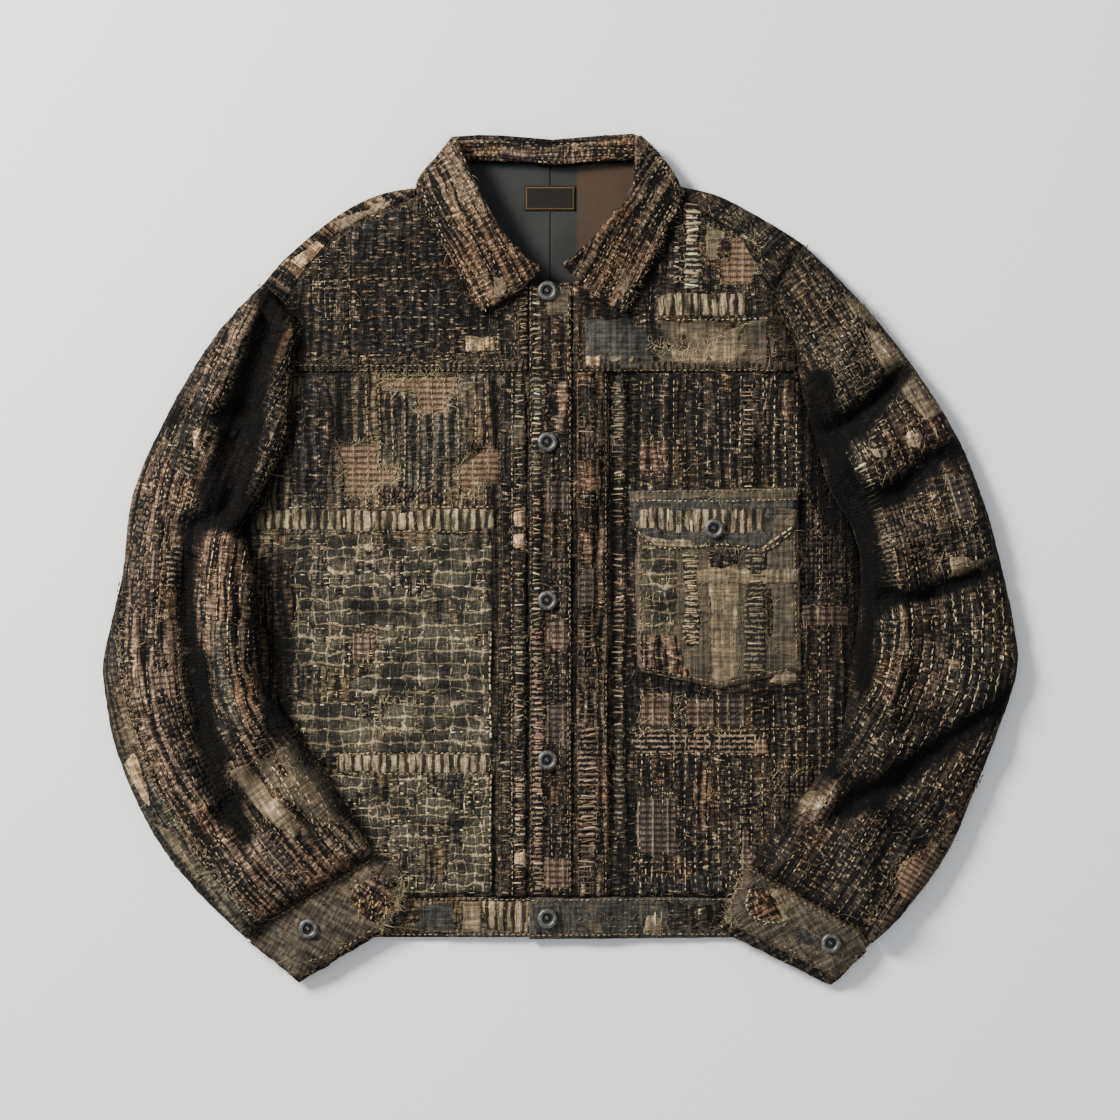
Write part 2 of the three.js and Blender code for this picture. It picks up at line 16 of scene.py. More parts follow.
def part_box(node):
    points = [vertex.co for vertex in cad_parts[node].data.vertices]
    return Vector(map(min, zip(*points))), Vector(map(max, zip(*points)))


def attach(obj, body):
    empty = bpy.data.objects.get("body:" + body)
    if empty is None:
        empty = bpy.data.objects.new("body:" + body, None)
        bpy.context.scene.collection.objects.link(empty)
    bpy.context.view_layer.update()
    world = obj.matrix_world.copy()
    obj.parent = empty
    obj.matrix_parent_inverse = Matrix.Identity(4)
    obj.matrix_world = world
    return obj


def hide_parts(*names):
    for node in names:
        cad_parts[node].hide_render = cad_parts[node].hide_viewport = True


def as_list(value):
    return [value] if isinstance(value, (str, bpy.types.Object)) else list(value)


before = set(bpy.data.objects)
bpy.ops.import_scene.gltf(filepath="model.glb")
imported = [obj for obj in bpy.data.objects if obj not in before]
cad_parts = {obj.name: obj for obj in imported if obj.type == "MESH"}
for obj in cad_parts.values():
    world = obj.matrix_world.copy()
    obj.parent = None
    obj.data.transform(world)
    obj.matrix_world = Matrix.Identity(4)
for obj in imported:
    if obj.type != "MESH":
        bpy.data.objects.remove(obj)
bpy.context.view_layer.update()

MM = 0.001
dice = np.random.default_rng(11)
scene = bpy.context.scene

# ---------------------------------------------------------------- camera, light and floor

VIEW_WIDTH = 940.8  # what the view spans at the cloth's height
CAMERA_HEIGHT = 3200.0
CLOTH_HEIGHT = 12.0


def make_camera():
    """A long lens straight above the middle of the jacket."""
    data = bpy.data.cameras.new("above")
    data.sensor_width = 36
    data.lens = 36 * (CAMERA_HEIGHT - CLOTH_HEIGHT) / VIEW_WIDTH
    data.clip_end = 20
    camera = bpy.data.objects.new("above", data)
    camera.location = (0, 0, CAMERA_HEIGHT * MM)
    scene.collection.objects.link(camera)
    scene.camera = camera


def make_light(name, place, size, power, colour=(1, 1, 1)):
    """A soft square lamp that looks at the middle of the jacket."""
    data = bpy.data.lights.new(name, "AREA")
    data.size = size
    data.energy = power
    data.color = colour
    lamp = bpy.data.objects.new(name, data)
    lamp.location = place
    lamp.rotation_euler = Vector(place).to_track_quat("Z", "Y").to_euler()
    scene.collection.objects.link(lamp)


def make_studio():
    """A pale floor, one soft key from the upper left, and an even sky."""
    make_light("key", (-2.1, 1.5, 1.75), 0.8, 215, (1.0, 0.97, 0.93))
    make_light("fill", (1.8, -1.4, 2.4), 2.2, 12, (0.93, 0.96, 1.0))
    world = bpy.data.worlds.new("studio")
    scene.world = world
    world.use_nodes = True
    world.node_tree.nodes["Background"].inputs["Color"].default_value = (0.93, 0.95, 1.0, 1)
    world.node_tree.nodes["Background"].inputs["Strength"].default_value = 0.54

    bpy.ops.object.select_all(action="DESELECT")
    bpy.ops.mesh.primitive_plane_add(size=40, location=(0, 0, -0.0004))
    floor = bpy.context.object
    floor.name = "floor"
    paint = bpy.data.materials.new("floor_paint")
    paint.use_nodes = True
    shader = paint.node_tree.nodes["Principled BSDF"]
    shader.inputs["Base Color"].default_value = (0.95, 0.95, 0.945, 1)
    shader.inputs["Roughness"].default_value = 0.9
    floor.data.materials.append(paint)


# ---------------------------------------------------------------- lines and distances


def smooth(points, step=5.0):
    """Evenly spaced points on the smooth curve that runs through a few points."""
    p = np.asarray(points, float)
    ends = np.vstack([p[:1], p, p[-1:]])
    t = np.linspace(0, 1, 24, endpoint=False)[:, None]
    runs = []
    for a, b, c, d in zip(ends[:-3], ends[1:-2], ends[2:-1], ends[3:]):
        v0, v1 = (c - a) / 2, (d - b) / 2
        runs.append((2 * b - 2 * c + v0 + v1) * t**3 + (3 * c - 3 * b - 2 * v0 - v1) * t**2 + v0 * t + b)
    return spaced(np.vstack([*runs, p[-1:]]), step)


def spaced(line, step):
    """A line's points laid out again at even steps."""
    line = np.asarray(line, float)
    along = np.concatenate([[0], np.cumsum(np.hypot(*np.diff(line, axis=0).T))])
    count = max(1, round(along[-1] / step))
    wanted = np.linspace(0, along[-1], count + 1)
    return np.column_stack([np.interp(wanted, along, line[:, k]) for k in (0, 1)])


def pins(*numbers):
    """Points of the laid garment, given as x, y, x, y and so on."""
    return np.reshape(numbers, (-1, 2))


def outline(*runs):
    """A closed outline from runs of points, with no point twice."""
    points = np.vstack([np.asarray(r, float) for r in runs])
    gap = np.hypot(*(points - np.roll(points, 1, axis=0)).T)
    return points[gap > 0.3]


def distance(line, x, y, closed=False):
    """Distance of every point to a line of points."""
    line = np.asarray(line, float)
    ends = np.roll(line, -1, axis=0) if closed else line[1:]
    best = np.full(np.shape(x), np.inf)
    for (ax, ay), (bx, by) in zip(line if closed else line[:-1], ends):
        dx, dy = bx - ax, by - ay
        length2 = dx * dx + dy * dy
        if length2 == 0:
            continue
        t = np.clip(((x - ax) * dx + (y - ay) * dy) / length2, 0, 1)
        best = np.minimum(best, (x - ax - t * dx) ** 2 + (y - ay - t * dy) ** 2)
    return np.sqrt(best)


def inside(line, x, y):
    """Whether every point lies within a closed outline."""
    within = np.zeros(np.shape(x), bool)
    for (ax, ay), (bx, by) in zip(line, np.roll(line, -1, axis=0)):
        if ay != by:
            within ^= ((ay > y) != (by > y)) & (x < (bx - ax) * (y - ay) / (by - ay) + ax)
    return within


def depth_in(line, x, y):
    """Distance to a closed outline, positive within it."""
    return distance(line, x, y, closed=True) * np.where(inside(line, x, y), 1, -1)


def ease(t):
    t = np.clip(t, 0, 1)
    return t * t * (3 - 2 * t)


def sampled(field, step=4.0, shape=((-432, -408), (432, 408))):
    """A slow field worked out once on a grid round a shape, and read between the grid's points after that."""
    (x0, y0), (x1, y1) = np.min(shape, axis=0) - 2 * step, np.max(shape, axis=0) + 3 * step
    gx, gy = np.meshgrid(np.arange(x0, x1, step), np.arange(y0, y1, step))
    values = field(gx, gy)
    rows, columns = values.shape

    def read(x, y):
        u = np.clip((x - x0) / step, 0, columns - 1.001)
        v = np.clip((y - y0) / step, 0, rows - 1.001)
        i, j = u.astype(int), v.astype(int)
        u, v = u - i, v - j
        low = values[j, i] * (1 - u) + values[j, i + 1] * u
        high = values[j + 1, i] * (1 - u) + values[j + 1, i + 1] * u
        return low * (1 - v) + high * v

    return read


def lumps(x, y, seed=0.0):
    """Smooth random lumps, from -1 to 1, one unit across."""
    i, j = np.floor(x), np.floor(y)
    u, v = x - i, y - j
    u, v = u * u * (3 - 2 * u), v * v * (3 - 2 * v)

    def corner(a, b):
        h = np.sin((i + a) * 127.1 + (j + b) * 311.7 + seed * 74.7) * 43758.5453
        return (h - np.floor(h)) * 2 - 1

    low = corner(0, 0) * (1 - u) + corner(1, 0) * u
    high = corner(0, 1) * (1 - u) + corner(1, 1) * u
    return low * (1 - v) + high * v


def folds(list_of_folds, x, y):
    """Soft ridges, or troughs where the height is negative, each along its own line."""
    total = np.zeros(np.shape(x))
    for line, width, height in list_of_folds:
        near = distance(smooth(line, 10), x, y) / width
        total += height * np.exp(-near * near)
    return total


# ---------------------------------------------------------------- outlines of the garment

YOKE_SEAM = 158.0
BAND_SEAM = -283.0
HEM = -317.5
PLACKET_EDGE = -26.0
PLACKET_SEAM = 11.0

right_armhole = smooth([(-250, 232), (-233, 213), (-222, 196), (-226, 142), (-229, 100), (-250, 58), (-269, 26)])
left_armhole = smooth([(205, 265), (182, 222), (197, 185), (202, 150), (212, 110), (226, 62), (244, 32)])
right_side = smooth([(-269, 26), (-262, -60), (-252, -150), (-243, -230), (-240, BAND_SEAM)])
left_side = smooth([(244, 32), (257, -20), (253, -80), (241, -150), (228, -220), (222, BAND_SEAM)])
right_shoulder = smooth([(-121, 313), (-153, 307), (-187, 290), (-229, 256), (-250, 232)])
left_shoulder = smooth([(101, 314), (134, 306), (165, 290), (194, 273), (205, 265)])
right_neck = smooth([(-112, 312), (-100, 280), (-66, 246), (-26, 233)])
left_neck = smooth([(94, 312), (76, 275), (40, 246), (11, 233)])
back_neck = smooth([(-84, 335.5), (-32, 334.5), (-5, 332), (28, 334.5), (66, 336)])
right_roll_edge = smooth([(-126, 303), (-160, 290), (-190, 272), (-214, 245), (-233, 213)])
left_roll_edge = smooth([(105, 303), (122, 291), (147, 276), (167, 246), (181.9, 220.8)])

right_outer = smooth([
    (-250, 232), (-289, 189), (-330, 122), (-359, 55), (-368, -12), (-383, -79),
    (-383.5, -105), (-372, -163), (-342, -230), (-303, -281), (-262, -318),
])
right_inner = smooth([
    (-269, 26), (-257, -8), (-251, -60), (-249, -102), (-228, -135), (-186, -195), (-155, -246),
])
right_cuff_seam = [(-155, -246), (-200, -273), (-246, -301), (-262, -318)]
right_elbow_seam = smooth([
    (-367.5, -18), (-369, -30), (-368, -75), (-354, -135), (-332, -193), (-300, -246), (-262, -290), (-246, -301),
])
left_outer = smooth([
    (205, 265), (247, 223), (290, 172), (333, 105), (354, 55), (369, 4), (383, -62),
    (383.5, -96), (367, -147), (346, -200), (325, -247), (288, -298), (262, -322),
])
left_inner = smooth([
    (244, 32), (251, 9), (253, -20), (251, -42), (245, -90), (234, -155), (212, -188), (183, -223), (160, -256),
])
left_cuff_seam = [(160, -256), (205, -283), (252, -309), (262, -322)]
left_elbow_seam = smooth([(353, -180), (322, -229), (284, -256), (267, -287), (252, -309)])


def between(line, low, high):
    return line[(line[:, 1] > low) & (line[:, 1] < high)]


body_outline = outline(
    back_neck, left_shoulder, left_armhole, left_side,
    [(222, HEM), (-240, HEM)], right_side[::-1], right_armhole[::-1], right_shoulder[::-1],
)
right_sleeve_outline = outline(right_outer, right_cuff_seam[::-1], right_inner[::-1], right_armhole[::-1])
left_sleeve_outline = outline(left_inner, left_cuff_seam, left_outer[::-1], left_armhole)

# ---------------------------------------------------------------- the laid garment's surfaces

GAP = 0.3
BACK_CLOTH = 2.0
LINING = 0.8
LABEL_CLOTH = 0.7
FRONT_CLOTH = 3.0
SLEEVE_CLOTH = 2.4
STRIP = 1.8
COLLAR_CLOTH = 2.6
SCRAP_CLOTH = 1.5
HOLE_DEPTH = 1.5  # how far the cloth in a hole lies below the torn cloth
UNSEEN_STEP = 12  # size of the triangles under a scrap
SLEEVE_RIM = 4.0
SLEEVE_PUFF = 17.0
SLEEVE_ROUND = 46.0
SLEEVE_ON_BODY = 10.2

body_depth = sampled(lambda x, y: depth_in(body_outline, x, y))
fall_depth = sampled(lambda x, y: depth_in(np.array([(-92, 356), (-92, 312), (68, 312), (68, 358)]), x, y))
right_depth = sampled(lambda x, y: depth_in(right_sleeve_outline, x, y))
left_depth = sampled(lambda x, y: depth_in(left_sleeve_outline, x, y))

# Drag lines and wrinkles of the fronts, which every layer sewn on them follows.
BODY_FOLDS = [
    ([(-4, 150), (-9, 104), (2, 62), (-3, 8)], 3.4, -1.6), ([(-16, 96), (-12, 40), (-17, -20)], 3.0, -1.3),
    ([(16, 140), (19, 70), (14, -10), (17, -120)], 3.0, -1.4), ([(33, 152), (37, 84), (31, 10), (36, -90)], 3.6, -1.8),
    ([(-8, -20), (-14, -90), (-7, -160), (-12, -250)], 3.0, -1.3), ([(24, -60), (28, -150), (22, -250)], 3.2, -1.4),
    ([(60, 148), (66, 104), (62, 66)], 4.0, -1.4), ([(110, 152), (104, 110), (112, 70)], 5.0, -1.2),
    ([(-60, 100), (-76, 84), (-92, 80)], 3.4, -1.2), ([(-120, 150), (-126, 116), (-118, 84)], 4.0, -1.1),
    ([(-150, 16), (-110, 4), (-70, 10)], 5.0, -1.1), ([(-210, -20), (-150, -46), (-90, -40)], 6.0, -1.2),
    ([(-170, -96), (-120, -112), (-72, -104)], 5.0, -1.1), ([(-150, -200), (-110, -226), (-72, -222)], 6.0, -1.2),
    ([(80, -118), (120, -132), (190, -126)], 4.6, -1.3), ([(90, -180), (130, -214), (196, -206)], 6.0, -1.3),
    ([(210, 70), (226, 20), (232, -60)], 6.0, -1.4), ([(-130, 262), (-96, 226), (-70, 190)], 6.0, -1.2),
    ([(-190, 250), (-160, 216), (-150, 180)], 6.0, -1.2), ([(110, 210), (150, 192), (186, 196)], 4.4, -1.2),
    ([(70, 250), (96, 226), (130, 222)], 4.6, -1.2), ([(204, -120), (216, -180), (206, -250)], 5.0, -1.3),
]
body_folds = sampled(lambda x, y: folds(BODY_FOLDS, x, y), 3.0)


def back_lift(x, y):
    return 2.5 * ease(1 + (fall_depth(x, y) + 50) / 34)


def back_top(x, y):
    return back_lift(x, y) + BACK_CLOTH


def body_puff(x, y):
    rise = 3.0 * (1 - np.exp(-np.maximum(0, body_depth(x, y)) / 32))
    return np.maximum(0, rise + body_folds(x, y))


def front_top(x, y):
    return back_top(x, y) + 2 * GAP + LINING + body_puff(x, y) + FRONT_CLOTH + body_folds(x, y)


def left_front_top(x, y):
    return front_top(x, y) + (FRONT_CLOTH + GAP) * ease(1 - (x - PLACKET_SEAM) / 36)


def placket_top(x, y):
    return front_top(x, y) + GAP + FRONT_CLOTH


def left_band_top(x, y):
    return front_top(x, y) + (FRONT_CLOTH + GAP) * ease(1 - (x - PLACKET_SEAM - 20) / 36)


def sleeve_base(x, y):
    return SLEEVE_ON_BODY * ease((body_depth(x, y) + 54) / 28) * ease((104 - y) / 50)


RIGHT_FOLDS = [
    ([(-240, 215), (-256, 160), (-272, 100), (-276, 44)], 15, -15),
    ([(-262, 205), (-284, 150), (-302, 110)], 12, 5),
    ([(-300, 30), (-312, -40), (-302, -115), (-290, -180), (-262, -232)], 12, -9),
    ([(-284, 6), (-283, -30), (-276, -72)], 19, 8), ([(-264, -90), (-262, -150)], 14, 5),
    ([(-338, 60), (-345, -40), (-340, -110)], 18, 5),
    ([(-330, 125), (-296, 118), (-270, 128)], 8, -5),
    ([(-352, 40), (-322, 26), (-292, 34)], 7, -4),
    ([(-240, -150), (-262, -190), (-285, -215)], 10, -5),
    ([(-225, -190), (-246, -232), (-258, -262)], 9, 4),
    ([(-350, -120), (-325, -165), (-296, -205)], 9, 4),
    ([(-215, -215), (-205, -240)], 9, -5),
]
LEFT_FOLDS = [
    ([(205, 105), (232, 110), (262, 132), (286, 156)], 9, -11),
    ([(238, 62), (262, 52), (288, 60), (312, 84), (330, 92)], 10, -11),
    ([(262, -30), (290, -32), (330, -20), (366, -3)], 8, -8),
    ([(380, -112), (347, -138), (294, -173), (258, -197), (227, -216)], 11, -11),
    ([(268, 210), (246, 190), (236, 160)], 12, 7),
    ([(236, 84), (262, 92), (292, 110)], 12, 6),
    ([(262, 10), (300, 20), (340, 40)], 14, 6),
    ([(280, -60), (320, -80), (350, -110)], 16, 6),
    ([(252, -120), (290, -140), (320, -128)], 9, -4),
    ([(262, -62), (290, -66), (318, -56)], 6, -4),
    ([(330, 150), (312, 100), (322, 60)], 10, 3),
    ([(215, -205), (245, -245), (262, -290)], 11, 5),
    ([(232, -178), (280, -215), (310, -250)], 9, -5),
]
right_folds = sampled(lambda x, y: folds(RIGHT_FOLDS, x, y))
left_folds = sampled(lambda x, y: folds(LEFT_FOLDS, x, y))


def sleeve_surface(depth, creases):
    """The top of a sleeve's upper side: a low dome with its creases, rolled down at the edges."""

    def top(x, y):
        d = np.maximum(0, depth(x, y))
        t = 1 - np.minimum(1, d / SLEEVE_ROUND)
        rise = SLEEVE_PUFF * np.sqrt(1 - t * t) + np.clip(d / 20, 0, 1) * creases(x, y)
        return sleeve_base(x, y) + SLEEVE_RIM + 2 * SLEEVE_CLOTH + GAP + np.maximum(0, rise)

    return top


right_sleeve_top = sleeve_surface(right_depth, right_folds)
left_sleeve_top = sleeve_surface(left_depth, left_folds)


def crumpled(top, size=1.0, seed=0.0, grain=(1.0, 1.0)):
    """A surface with the small creases and puckers of quilted cloth laid on it."""

    def rough(x, y):
        gx, gy = x * grain[0], y * grain[1]
        fine = 0.34 * lumps(gx / 5.2, gy / 5.2, seed) + 0.3 * lumps(gx / 9, gy / 9, seed + 3)
        wide = 0.62 * lumps(x / 21, y / 21, seed + 5) + 0.6 * lumps(x / 46, y / 46, seed + 7)
        return top(x, y) + size * (fine + wide)

    return rough


# ---------------------------------------------------------------- grain: directions along the cloth


class StraightGrain:
    """u runs up a panel and v across it."""

    def __init__(self, angle=90.0, origin=(0.0, 0.0)):
        self.c, self.s = math.cos(math.radians(angle)), math.sin(math.radians(angle))
        self.origin = origin

    def to_plane(self, u, v):
        x = self.origin[0] + u * self.c + v * self.s
        return x, self.origin[1] + u * self.s - v * self.c

    def from_plane(self, x, y):
        dx, dy = x - self.origin[0], y - self.origin[1]
        return dx * self.c + dy * self.s, dx * self.s - dy * self.c


class CurvedGrain:
    """u runs down a bent sleeve and v across it, to the left of its direction."""

    def __init__(self, axis):
        self.axis = smooth(axis, 6)
        steps = np.diff(self.axis, axis=0)
        self.along = np.concatenate([[0], np.cumsum(np.hypot(*steps.T))])
        turn = np.gradient(self.axis, axis=0)
        self.side = np.column_stack([-turn[:, 1], turn[:, 0]]) / np.hypot(*turn.T)[:, None]

    def to_plane(self, u, v):
        read = lambda column: np.interp(u, self.along, column)
        x = read(self.axis[:, 0]) + v * read(self.side[:, 0])
        return x, read(self.axis[:, 1]) + v * read(self.side[:, 1])

    def from_plane(self, x, y):
        x, y = np.asarray(x, float), np.asarray(y, float)
        best, u, v = (np.full(x.shape, fill) for fill in (np.inf, 0.0, 0.0))
        for k in range(len(self.axis) - 1):
            (ax, ay), (bx, by) = self.axis[k], self.axis[k + 1]
            dx, dy, size = bx - ax, by - ay, self.along[k + 1] - self.along[k]
            t = ((x - ax) * dx + (y - ay) * dy) / size**2
            low = -np.inf if k == 0 else 0
            high = np.inf if k == len(self.axis) - 2 else 1
            t = np.clip(t, low, high)
            ex, ey = x - ax - t * dx, y - ay - t * dy
            near = np.hypot(ex, ey)
            closer = near < best
            best = np.where(closer, near, best)
            u = np.where(closer, self.along[k] + t * size, u)
            v = np.where(closer, np.sign(dx * ey - dy * ex) * near, v)
        return u, v


UPRIGHT = StraightGrain(90)
LEVEL = StraightGrain(0)
RIGHT_SLEEVE = CurvedGrain([
    (-225, 235), (-268, 150), (-308, 50), (-320, -50), (-312, -130), (-270, -210), (-215, -280),
])
LEFT_SLEEVE = CurvedGrain([
    (195, 250), (242, 170), (290, 80), (316, -10), (318, -90), (290, -160), (250, -220), (210, -285),
])

# ---------------------------------------------------------------- shader helpers

TURN = 6.2832  # a whole turn in radians


class Value:
    """A shader value that arithmetic can be written with."""

    def __init__(self, nodes, socket):
        self.nodes = nodes
        self.socket = socket

    def math(self, operation, *others):
        return self.nodes.math(operation, self, *others)

    def wave(self, length):
        """A sine from -1 to 1 that repeats at every length."""
        return ((self / length) * TURN).math("SINE")

    def arch(self, length):
        """Bumps from 0 to 1, one to each length."""
        return ((self / length) * (TURN / 2)).math("SINE").math("ABSOLUTE")

    def __add__(self, other):
        return self.math("ADD", other)

    def __sub__(self, other):
        return self.math("SUBTRACT", other)

    def __rsub__(self, other):
        return self.nodes.math("SUBTRACT", other, self)

    def __mul__(self, other):
        return self.math("MULTIPLY", other)

    def __truediv__(self, other):
        return self.math("DIVIDE", other)

    __radd__ = __add__
    __rmul__ = __mul__


class Nodes:
    """Makes the nodes of one material."""

    def __init__(self, name):
        self.material = bpy.data.materials.new(name)
        self.material.use_nodes = True
        self.tree = self.material.node_tree
        self.shader = self.tree.nodes["Principled BSDF"]

    def node(self, kind, settings=None, **sockets):
        made = self.tree.nodes.new("ShaderNode" + kind)
        for name, value in (settings or {}).items():
            setattr(made, name, value)
        for name, value in sockets.items():
            self.feed(made.inputs[name.replace("_", " ")], value)
        return made

    def feed(self, socket, value):
        if isinstance(value, Value):
            self.tree.links.new(value.socket, socket)
        else:
            socket.default_value = value

    def math(self, operation, *values):
        made = self.tree.nodes.new("ShaderNodeMath")
        made.operation = operation
        for socket, value in zip(made.inputs, values):
            self.feed(socket, value)
        return Value(self, made.outputs[0])

    def grain(self):
        """u and v along and across the cloth, in millimetres."""
        uv = self.node("UVMap", {"uv_map": "grain"})
        parts = self.node("SeparateXYZ", Vector=Value(self, uv.outputs[0]))
        return Value(self, parts.outputs[0]) * 1000.0, Value(self, parts.outputs[1]) * 1000.0

    def noise(self, u, v, size_u, size_v, detail=2.0, seed=0.0, roughness=0.55):
        """Cloudy noise from 0 to 1, with lumps of a size along u and another along v."""
        place = self.node("CombineXYZ", X=u / size_u, Y=v / size_v, Z=float(seed))
        made = self.node(
            "TexNoise", {"noise_dimensions": "3D"},
            Vector=Value(self, place.outputs[0]), Scale=1.0, Detail=detail, Roughness=roughness,
        )
        return Value(self, made.outputs[0])

    def cells(self, u, v, size_u, size_v, seed=0.0):
        """A random number from 0 to 1 for each cell of a grid."""
        cell_u, cell_v = (u / size_u).math("FLOOR"), (v / size_v).math("FLOOR")
        place = self.node("CombineXYZ", X=cell_u, Y=cell_v, Z=float(seed))
        made = self.node("TexWhiteNoise", {"noise_dimensions": "3D"}, Vector=Value(self, place.outputs[0]))
        return Value(self, made.outputs[0])

    def step(self, value, low, high):
        """0 below low, 1 above high, and smooth between."""
        made = self.node(
            "MapRange", {"interpolation_type": "SMOOTHSTEP", "clamp": True},
            Value=value, From_Min=low, From_Max=high, To_Min=0.0, To_Max=1.0,
        )
        return Value(self, made.outputs[0])

    def mix(self, factor, a, b, blend="MIX"):
        made = self.tree.nodes.new("ShaderNodeMix")
        made.data_type = "RGBA"
        made.blend_type = blend
        self.feed(made.inputs[0], factor)
        for socket, colour in ((made.inputs[6], a), (made.inputs[7], b)):
            self.feed(socket, colour if isinstance(colour, Value) else (*colour[:3], 1.0))
        return Value(self, made.outputs[2])

    def shaded(self, colour, brightness):
        """A colour made darker or lighter by a number."""
        grey = self.node("CombineColor", Red=brightness, Green=brightness, Blue=brightness)
        return self.mix(1.0, colour, Value(self, grey.outputs[0]), "MULTIPLY")

    def attribute(self, name):
        return Value(self, self.node("Attribute", {"attribute_name": name}).outputs["Color"])

    def finish(self, colour, height, relief, roughness=0.92, painted_shade=True):
        """Links colour and relief to the shader. relief is the height's size in millimetres.

        Cloth with painted shade is darker in its creases and shaded places, by the number kept in the mesh's tint.
        """
        if painted_shade:
            # Painted shade: the colour is multiplied by the shade number kept in the tint.
            colour = self.mix(1.0, colour, self.attribute("tint"), "MULTIPLY")
        self.feed(self.shader.inputs["Base Color"], colour)
        self.feed(self.shader.inputs["Roughness"], roughness)
        self.shader.inputs["Specular IOR Level"].default_value = 0.18
        bump = self.node("Bump", Strength=1.0, Distance=relief * MM, Height=height)
        self.feed(self.shader.inputs["Normal"], Value(self, bump.outputs[0]))
        return self.material


# ---------------------------------------------------------------- cloth finishes

CHARCOAL = (0.0165, 0.0160, 0.0140)
SOOT = (0.0085, 0.0078, 0.0068)
INDIGO = (0.0130, 0.0150, 0.0175)
UMBER = (0.0330, 0.0225, 0.0140)
OLIVE = (0.0760, 0.0590, 0.0385)
KHAKI = (0.1650, 0.1290, 0.0800)
MOSS = (0.0440, 0.0410, 0.0300)
SAND = (0.3500, 0.2620, 0.1560)
CREAM = (0.5400, 0.4250, 0.2600)
ROSE = (0.2800, 0.1900, 0.1280)
MAUVE = (0.1450, 0.1020, 0.0700)


def woven(nodes, u, v, seed=0.0):
    """Slubby crossed threads: a number from 0 to 1 for colour and for relief."""
    warp = nodes.step(nodes.noise(u, v, 15.0, 0.9, 2.0, seed), 0.33, 0.67)
    weft = nodes.step(nodes.noise(u, v, 0.9, 11.0, 2.0, seed + 9.0), 0.33, 0.67)
    lump = nodes.step(nodes.noise(u, v, 2.4, 2.4, 2.0, seed + 19.0), 0.3, 0.7)
    return warp * 0.4 + weft * 0.28 + lump * 0.32


def worn_cloth(name, dark, middle, light, seed=0.0, fade=0.5, threads=SAND, relief=0.9, calm=0.0):
    """Quilted ground cloth: blotched, streaked along the grain, rubbed light on its threads, and given painted shade
    and highlight on its puckers.
    """
    m = Nodes(name)
    u, v = m.grain()
    weave = woven(m, u, v, seed)
    blotch = m.noise(u, v, 34.0, 24.0, 3.0, seed + 2.0)
    bent = v + m.noise(u, v, 40.0, 30.0, 2.0, seed + 3.0) * 12.0
    streak = m.step(m.noise(u, bent, 90.0, 4.6, 2.0, seed + 4.0), 0.34, 0.66)
    cross = m.step(m.noise(u, v, 5.0, 60.0, 2.0, seed + 5.0), 0.36, 0.68)
    pucker = m.step(m.noise(u, v, 2.5, 8.0, 2.0, seed + 6.0), 0.34, 0.66)
    colour = m.mix(m.step(blotch * 0.5 + streak * 0.5, 0.34, 0.68), dark, middle)
    faded = m.step(streak * 0.5 + cross * 0.22 + blotch * 0.5, 0.56 - 0.12 * fade, 0.92 - 0.12 * fade)
    colour = m.mix(faded * fade, colour, light)
    # Raised threads on the tops of the puckers are rubbed pale.
    area = m.noise(u, v, 22.0, 16.0, 2.0, seed + 7.0)
    rubbed = m.step(pucker * 0.45 + weave * 0.4 + area * 0.5, 0.86, 1.12)
    colour = m.mix(rubbed * (0.35 + fade * 0.4), colour, threads)
    # Brightness from the weave and streaks, and painted shade and highlight that follow the puckers, which are also the
    # bump's relief.
    rough = (0.25 + weave * 1.5) * (0.32 + pucker * 1.35) * (0.5 + streak)
    colour = m.shaded(colour, rough * (1.0 - calm) + (0.5 + weave) * calm)
    stain = m.step(m.noise(u, v, 70.0, 46.0, 2.0, seed + 8.0), 0.42, 0.66)
    colour = m.mix(stain, colour, m.mix(1.0, colour, (1.28, 1.07, 0.88), "MULTIPLY"))
    return m.finish(colour, weave * 0.45 + pucker * 1.0 + streak * 0.3, relief)


def plain_cloth(name, dark, middle, light, seed=0.0):
    """Smooth washed canvas: clouds of wear, a fine even weave, and painted shade and highlight on its puckers."""
    m = Nodes(name)
    u, v = m.grain()
    cloud = m.noise(u, v, 22.0, 16.0, 4.0, seed)
    scuff = m.noise(u, v, 7.0, 5.0, 4.0, seed + 1.0)
    fine = m.noise(u, v, 1.4, 0.8, 2.0, seed + 2.0)
    slub = m.noise(u, v, 18.0, 1.0, 2.0, seed + 3.0)
    pucker = m.noise(u, v, 3.0, 9.0, 2.0, seed + 4.0)
    colour = m.mix(m.step(cloud * 0.6 + scuff * 0.4, 0.36, 0.56), dark, middle)
    colour = m.mix(m.step(cloud * 0.4 + scuff * 0.4 + pucker * 0.2, 0.52, 0.66) * 0.8, colour, light)
    down = m.step(m.noise(u, v, 70.0, 2.6, 3.0, seed + 5.0), 0.36, 0.64)
    across = m.step(m.noise(u, v, 2.6, 50.0, 3.0, seed + 6.0), 0.36, 0.64)
    crossed = 0.4 + down * 0.65 + across * 0.55
    # Brightness from the weave and slubs, and painted shade and highlight that follow the puckers, which are also the
    # bump's relief.
    colour = m.shaded(colour, (0.3 + fine * 0.7 + slub * 0.7) * (0.35 + pucker * 1.3) * crossed)
    return m.finish(colour, pucker * 1.2 + fine * 0.25 + slub * 0.25 + (down + across) * 0.3, 1.0)


